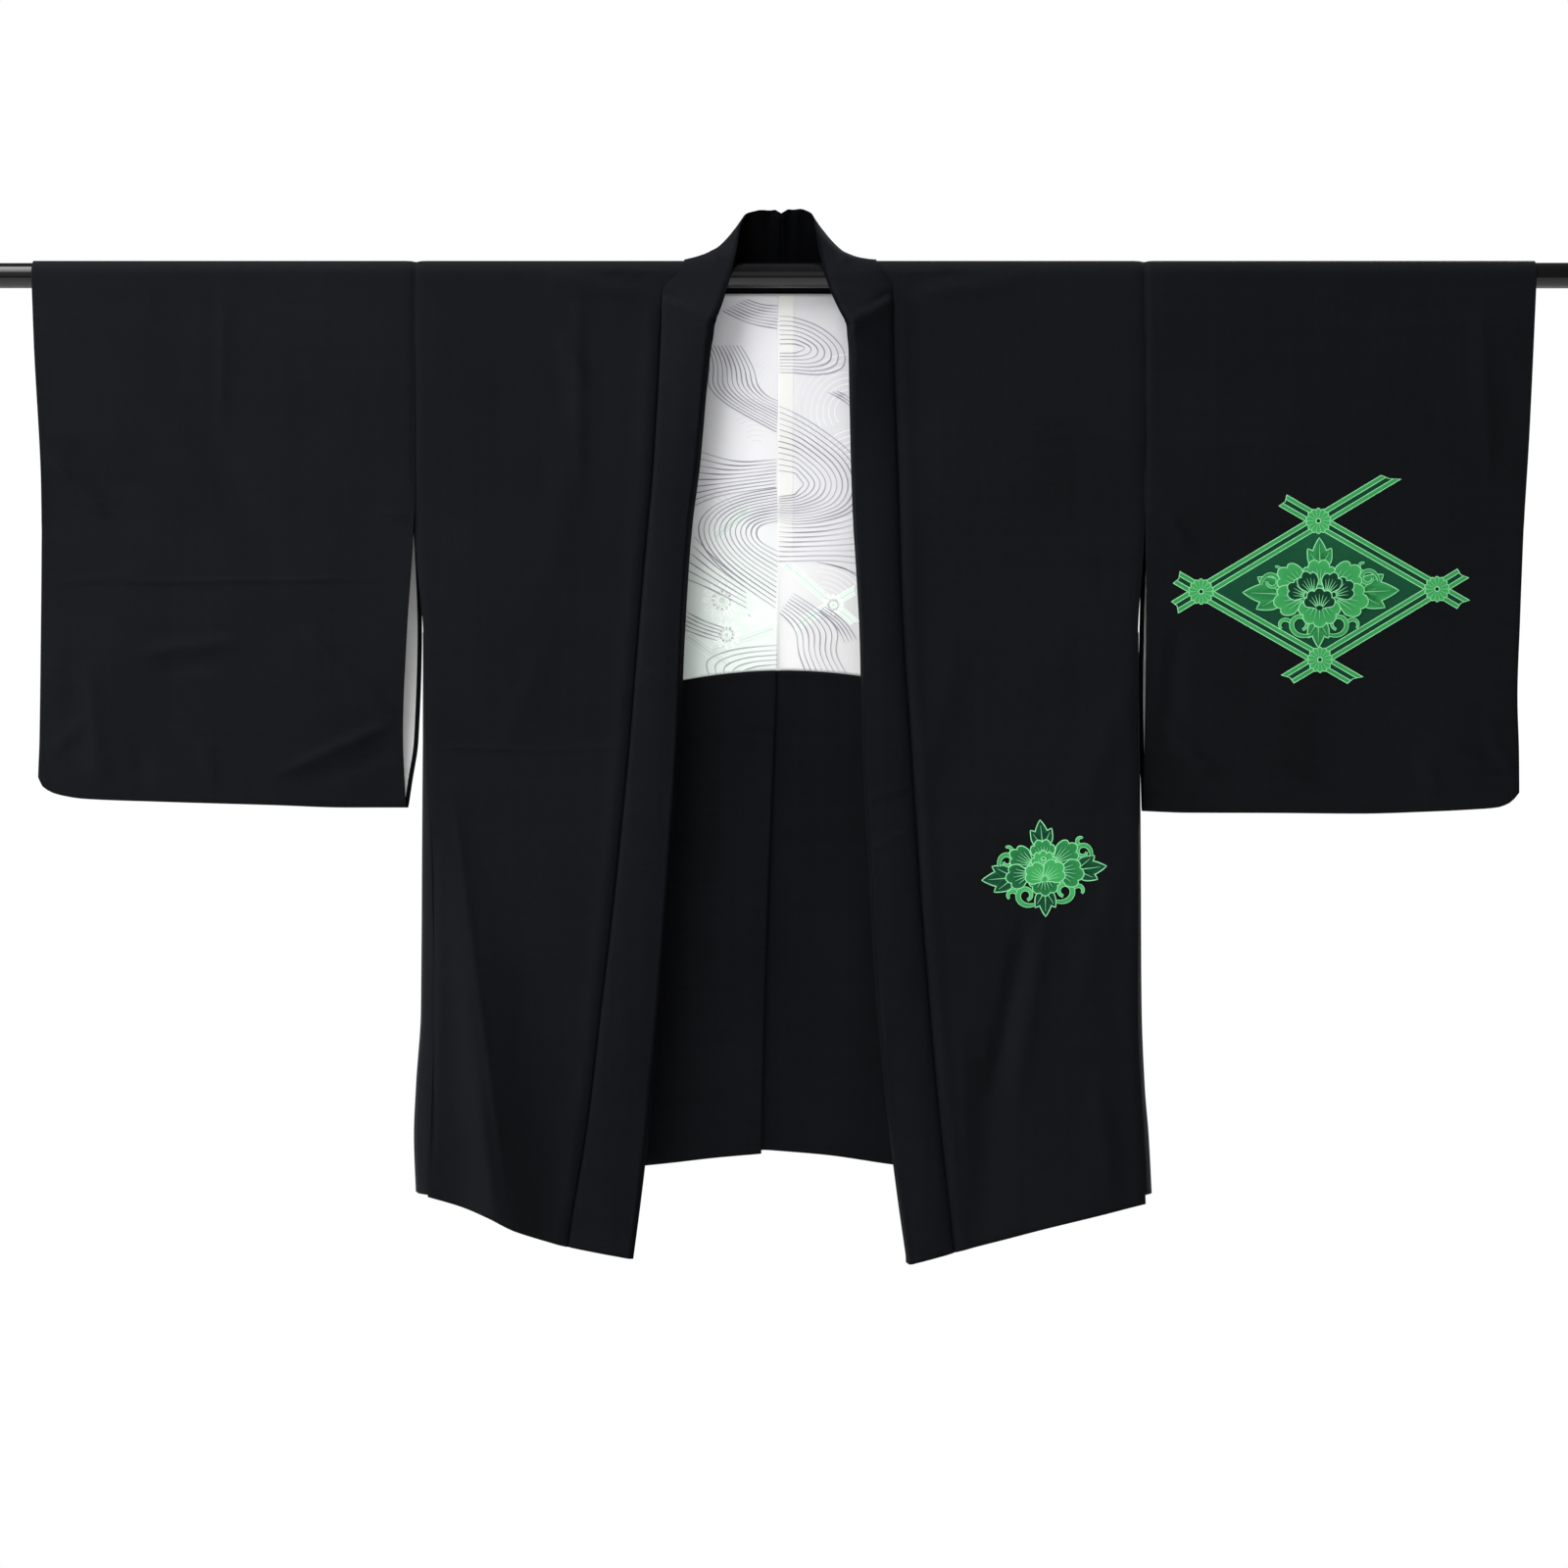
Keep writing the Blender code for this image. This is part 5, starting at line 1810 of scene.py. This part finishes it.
def black_crepe(name, stops, bloom, roughness):
    """Matte blue-black crepe: its dye runs between two colours by the sum of noise stretched along the
    threads both ways, a speckle and a cloud, under a faint cool bloom; where the number called inside
    is painted, painted shade darkens the dye and dims the bloom and the gloss."""
    silk = Recipe(name)
    warp = silk.noise(220.0, 2.0, stretch=(1, 1, 0.02))
    weft = silk.noise(220.0, 2.0, stretch=(0.02, 1, 1))
    threads = silk.maths("MULTIPLY", silk.maths("ADD", warp, weft), 0.18)
    speckle = silk.maths("MULTIPLY", silk.noise(700.0, 2.0), 0.40)
    cloud = silk.maths("MULTIPLY_ADD", silk.noise(6.0), 0.24, speckle)
    dye = silk.ramp(silk.maths("ADD", threads, cloud), *stops)
    # Painted shade: the painted inside number darkens the dye by up to three quarters and dims the sheen and
    # gloss with it.
    shown = silk.maths("MULTIPLY_ADD", silk.painted("inside"), -0.75, 1.0)
    silk.link(silk.scaled(dye, shown), "Base Color")
    silk.link(silk.maths("MULTIPLY", shown, bloom), "Sheen Weight")
    silk.link(silk.maths("MULTIPLY", shown, 0.07), "Specular IOR Level")
    silk.weave(*CREPE_WEAVE)
    silk.set(Roughness=roughness, Sheen_Roughness=0.35, Sheen_Tint=(0.75, 0.85, 1.0, 1))
    return silk.material


def smooth_silk(silk):
    """The fine weave and soft sheen that all the lining's silk has."""
    silk.weave(*LINING_WEAVE)
    silk.set(Roughness=0.42, Sheen_Weight=0.15, Sheen_Roughness=0.3, Specular_IOR_Level=0.4)
    return silk.material


def lining_silk(name):
    """Smooth pale silk: cool white at the neck and whiter downwards, with a pale green cloud above the
    facing on the right, a cream tuck, and painted shade that darkens the whole towards the left."""
    silk = Recipe(name)
    place = silk.node("ShaderNodeSeparateXYZ", {"Vector": silk.place}).outputs
    height = silk.maths("MULTIPLY_ADD", silk.noise(14.0), 0.10, place["Z"])
    plain = silk.ramp(silk.between(height, -0.33, 0.06), *LINING_WHITES)
    across, down = silk.between(place["X"], 0.004, -0.030), silk.between(height, -0.13, -0.24)
    cloud = silk.maths("MULTIPLY", across, down)
    clouded = silk.mix(silk.maths("MULTIPLY", cloud, 0.9), plain, CLOUD_GREEN)
    tucked = silk.mix(silk.painted("tuck"), clouded, TUCK_CREAM)
    # Painted shade: towards the wearer's left, at +X, the colour falls to 0.74 of itself.
    silk.link(silk.scaled(tucked, silk.between(place["X"], 0.060, -0.025, 0.74)), "Base Color")
    return smooth_silk(silk)


def plain_silk(name):
    """Pale silk like the lining's but without a drawing, faintly clouded, and whiter: painted light for
    the glow through the thin silk.
    """
    silk = Recipe(name)
    silk.link(silk.ramp(silk.noise(14.0), *SLEEVE_WHITES_AND_PAINTED_GLOW), "Base Color")
    return smooth_silk(silk)


def black_enamel(name):
    """Glossy black enamel over steel tube, with the faint ripple of its coat."""
    enamel = Recipe(name)
    enamel.link(enamel.ramp(enamel.noise(25.0), *ENAMEL_BLACKS), "Base Color")
    enamel.raise_surface(enamel.noise(90.0, stretch=(0.3, 1, 1)), 0.00002)
    enamel.set(Roughness=0.05, Specular_IOR_Level=0.38)
    return enamel.material


def printed_dye(name, stops, roughness):
    """Dye on silk: the mark's own tone, through a ramp from its deepest colour to its palest."""
    dye = Recipe(name)
    tone = dye.maths("SUBTRACT", dye.painted("tone"), 0.03)
    mottle = dye.maths("MULTIPLY_ADD", dye.noise(260.0), 0.06, tone)
    dye.link(dye.ramp(mottle, *stops), "Base Color")
    dye.weave(*DYE_WEAVE)
    dye.set(Roughness=roughness, Specular_IOR_Level=0.08)
    return dye.material


def pale_floor(name):
    """Matte white paint, faintly clouded."""
    floor_paint = Recipe(name)
    floor_paint.link(floor_paint.ramp(floor_paint.noise(0.8), *FLOOR_WHITES), "Base Color")
    floor_paint.set(Roughness=0.8)
    return floor_paint.material


# Studio ---------------------------------------------------------------------------------------

FLOOR_DROP = 1.75
FLOOR_HALF = 2.9
FRAME_WIDTH = 1.36
FRAME_CENTRE_DROP = 0.441
CAMERA_DISTANCE = 3.2
SENSOR_MM = 36
SURROUND_LIGHT = 0.17
LIT_POINT = (0, 0, -0.4)

# The lamps: where each stands, its width and height, and its watts. The first four light the front, the
# strips draw the bright lines along the rod, and the last two light the back.
LAMPS = {
    "key": ((-1.9, -2.3, 1.2), (1.5, 1.5), 36),
    "fill": ((-0.4, -3.0, 0.3), (2.6, 2.6), 9),
    "above": ((-1.0, -1.2, 2.1), (1.7, 1.7), 88),
    "side": ((-3.0, -0.8, 0.3), (0.8, 0.8), 72),
    "high_strip": ((0, 0.2, 2.4), (3.6, 0.25), 40),
    "low_strip": ((0, -3.6, -1.5), (3.6, 0.07), 18),
    "behind": ((1.9, 2.2, 1.3), (0.9, 0.9), 115),
    "behind_fill": ((-1.3, 2.8, 0.4), (1.8, 1.8), 22),
}


def floor():
    """A level square of floor, well below the hem."""
    corners = FLOOR_HALF * np.array([(-1, -1), (1, -1), (1, 1), (-1, 1)])
    mesh = bpy.data.meshes.new("floor")
    mesh.from_pydata(flat_points(corners[:, 0], corners[:, 1], -FLOOR_DROP).tolist(), [], [(0, 1, 2, 3)])
    mesh.materials.append(pale_floor("pale_floor"))
    made = bpy.data.objects.new("floor", mesh)
    bpy.context.scene.collection.objects.link(made)


def lamp(name, place, size, watts):
    """A soft lamp that faces the middle of the garment."""
    data = bpy.data.lights.new(name, "AREA")
    data.shape = "RECTANGLE"
    data.size, data.size_y = size
    data.energy = watts
    made = bpy.data.objects.new(name, data)
    made.location = place
    aim = Vector(LIT_POINT) - Vector(place)
    made.rotation_euler = aim.to_track_quat("-Z", "Y").to_euler()
    bpy.context.scene.collection.objects.link(made)


def surround():
    """A white surround that lights the garment less than it shows, so that the lamps draw the folds."""
    world = bpy.data.worlds.new("studio")
    world.use_nodes = True
    seen = world.node_tree.nodes.new("ShaderNodeLightPath").outputs["Is Camera Ray"]
    strength = world.node_tree.nodes.new("ShaderNodeMapRange")
    strength.inputs["To Min"].default_value = SURROUND_LIGHT
    world.node_tree.links.new(seen, strength.inputs["Value"])
    light = world.node_tree.nodes["Background"]
    light.inputs["Color"].default_value = (1, 1, 1, 1)
    world.node_tree.links.new(strength.outputs["Result"], light.inputs["Strength"])
    return world


def studio():
    """The surround, the lamps, and a level camera square to the front, whose frame is FRAME_WIDTH wide."""
    scene = bpy.context.scene
    scene.world = surround()
    scene.view_settings.view_transform = "Standard"
    for name, (place, size, watts) in LAMPS.items():
        lamp(name, place, size, watts)
    data = bpy.data.cameras.new("camera")
    data.sensor_width = SENSOR_MM
    data.lens = SENSOR_MM * CAMERA_DISTANCE / FRAME_WIDTH
    camera = bpy.data.objects.new("camera", data)
    camera.location = (0, -CAMERA_DISTANCE, -FRAME_CENTRE_DROP)
    camera.rotation_euler = (np.pi / 2, 0, 0)
    scene.collection.objects.link(camera)
    scene.camera = camera


crepe = black_crepe("black_crepe", CREPE_BLACKS, bloom=0.03, roughness=0.78)
collar_crepe = black_crepe("collar_crepe", COLLAR_BLACKS, bloom=0.01, roughness=0.9)
facing_crepe = black_crepe("facing_crepe", FACING_BLACKS, bloom=0.01, roughness=0.9)
pale_silk = lining_silk("lining_silk")
white_silk_and_painted_glow = plain_silk("sleeve_silk")
green = printed_dye("green_dye", DYED_GREENS, roughness=0.7)
mauve = printed_dye("mauve_dye", WATER_MAUVES, roughness=0.45)
pale = printed_dye("pale_dye", FLOWER_GREENS, roughness=0.45)
floor()
studio()
sleeve_prints = {"right": (), "left": (sleeve_drawing(green),)}
front_prints = {"right": (), "left": (front_drawing(green),)}
lining_prints = {side: [water_lines(side, mauve), pale_flowers(side, pale)] for side in SIDES}
for side in SIDES:
    body_panel(side, crepe)
    sleeve(side, crepe)
    gusset(side, crepe)
    collar(side, collar_crepe)
    back_lining(side, pale_silk)
    back_facing(side, facing_crepe)
    sleeve_lining(side, white_silk_and_painted_glow)
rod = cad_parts["rod"]
rod.data.materials.clear()
rod.data.materials.append(black_enamel("black_enamel"))
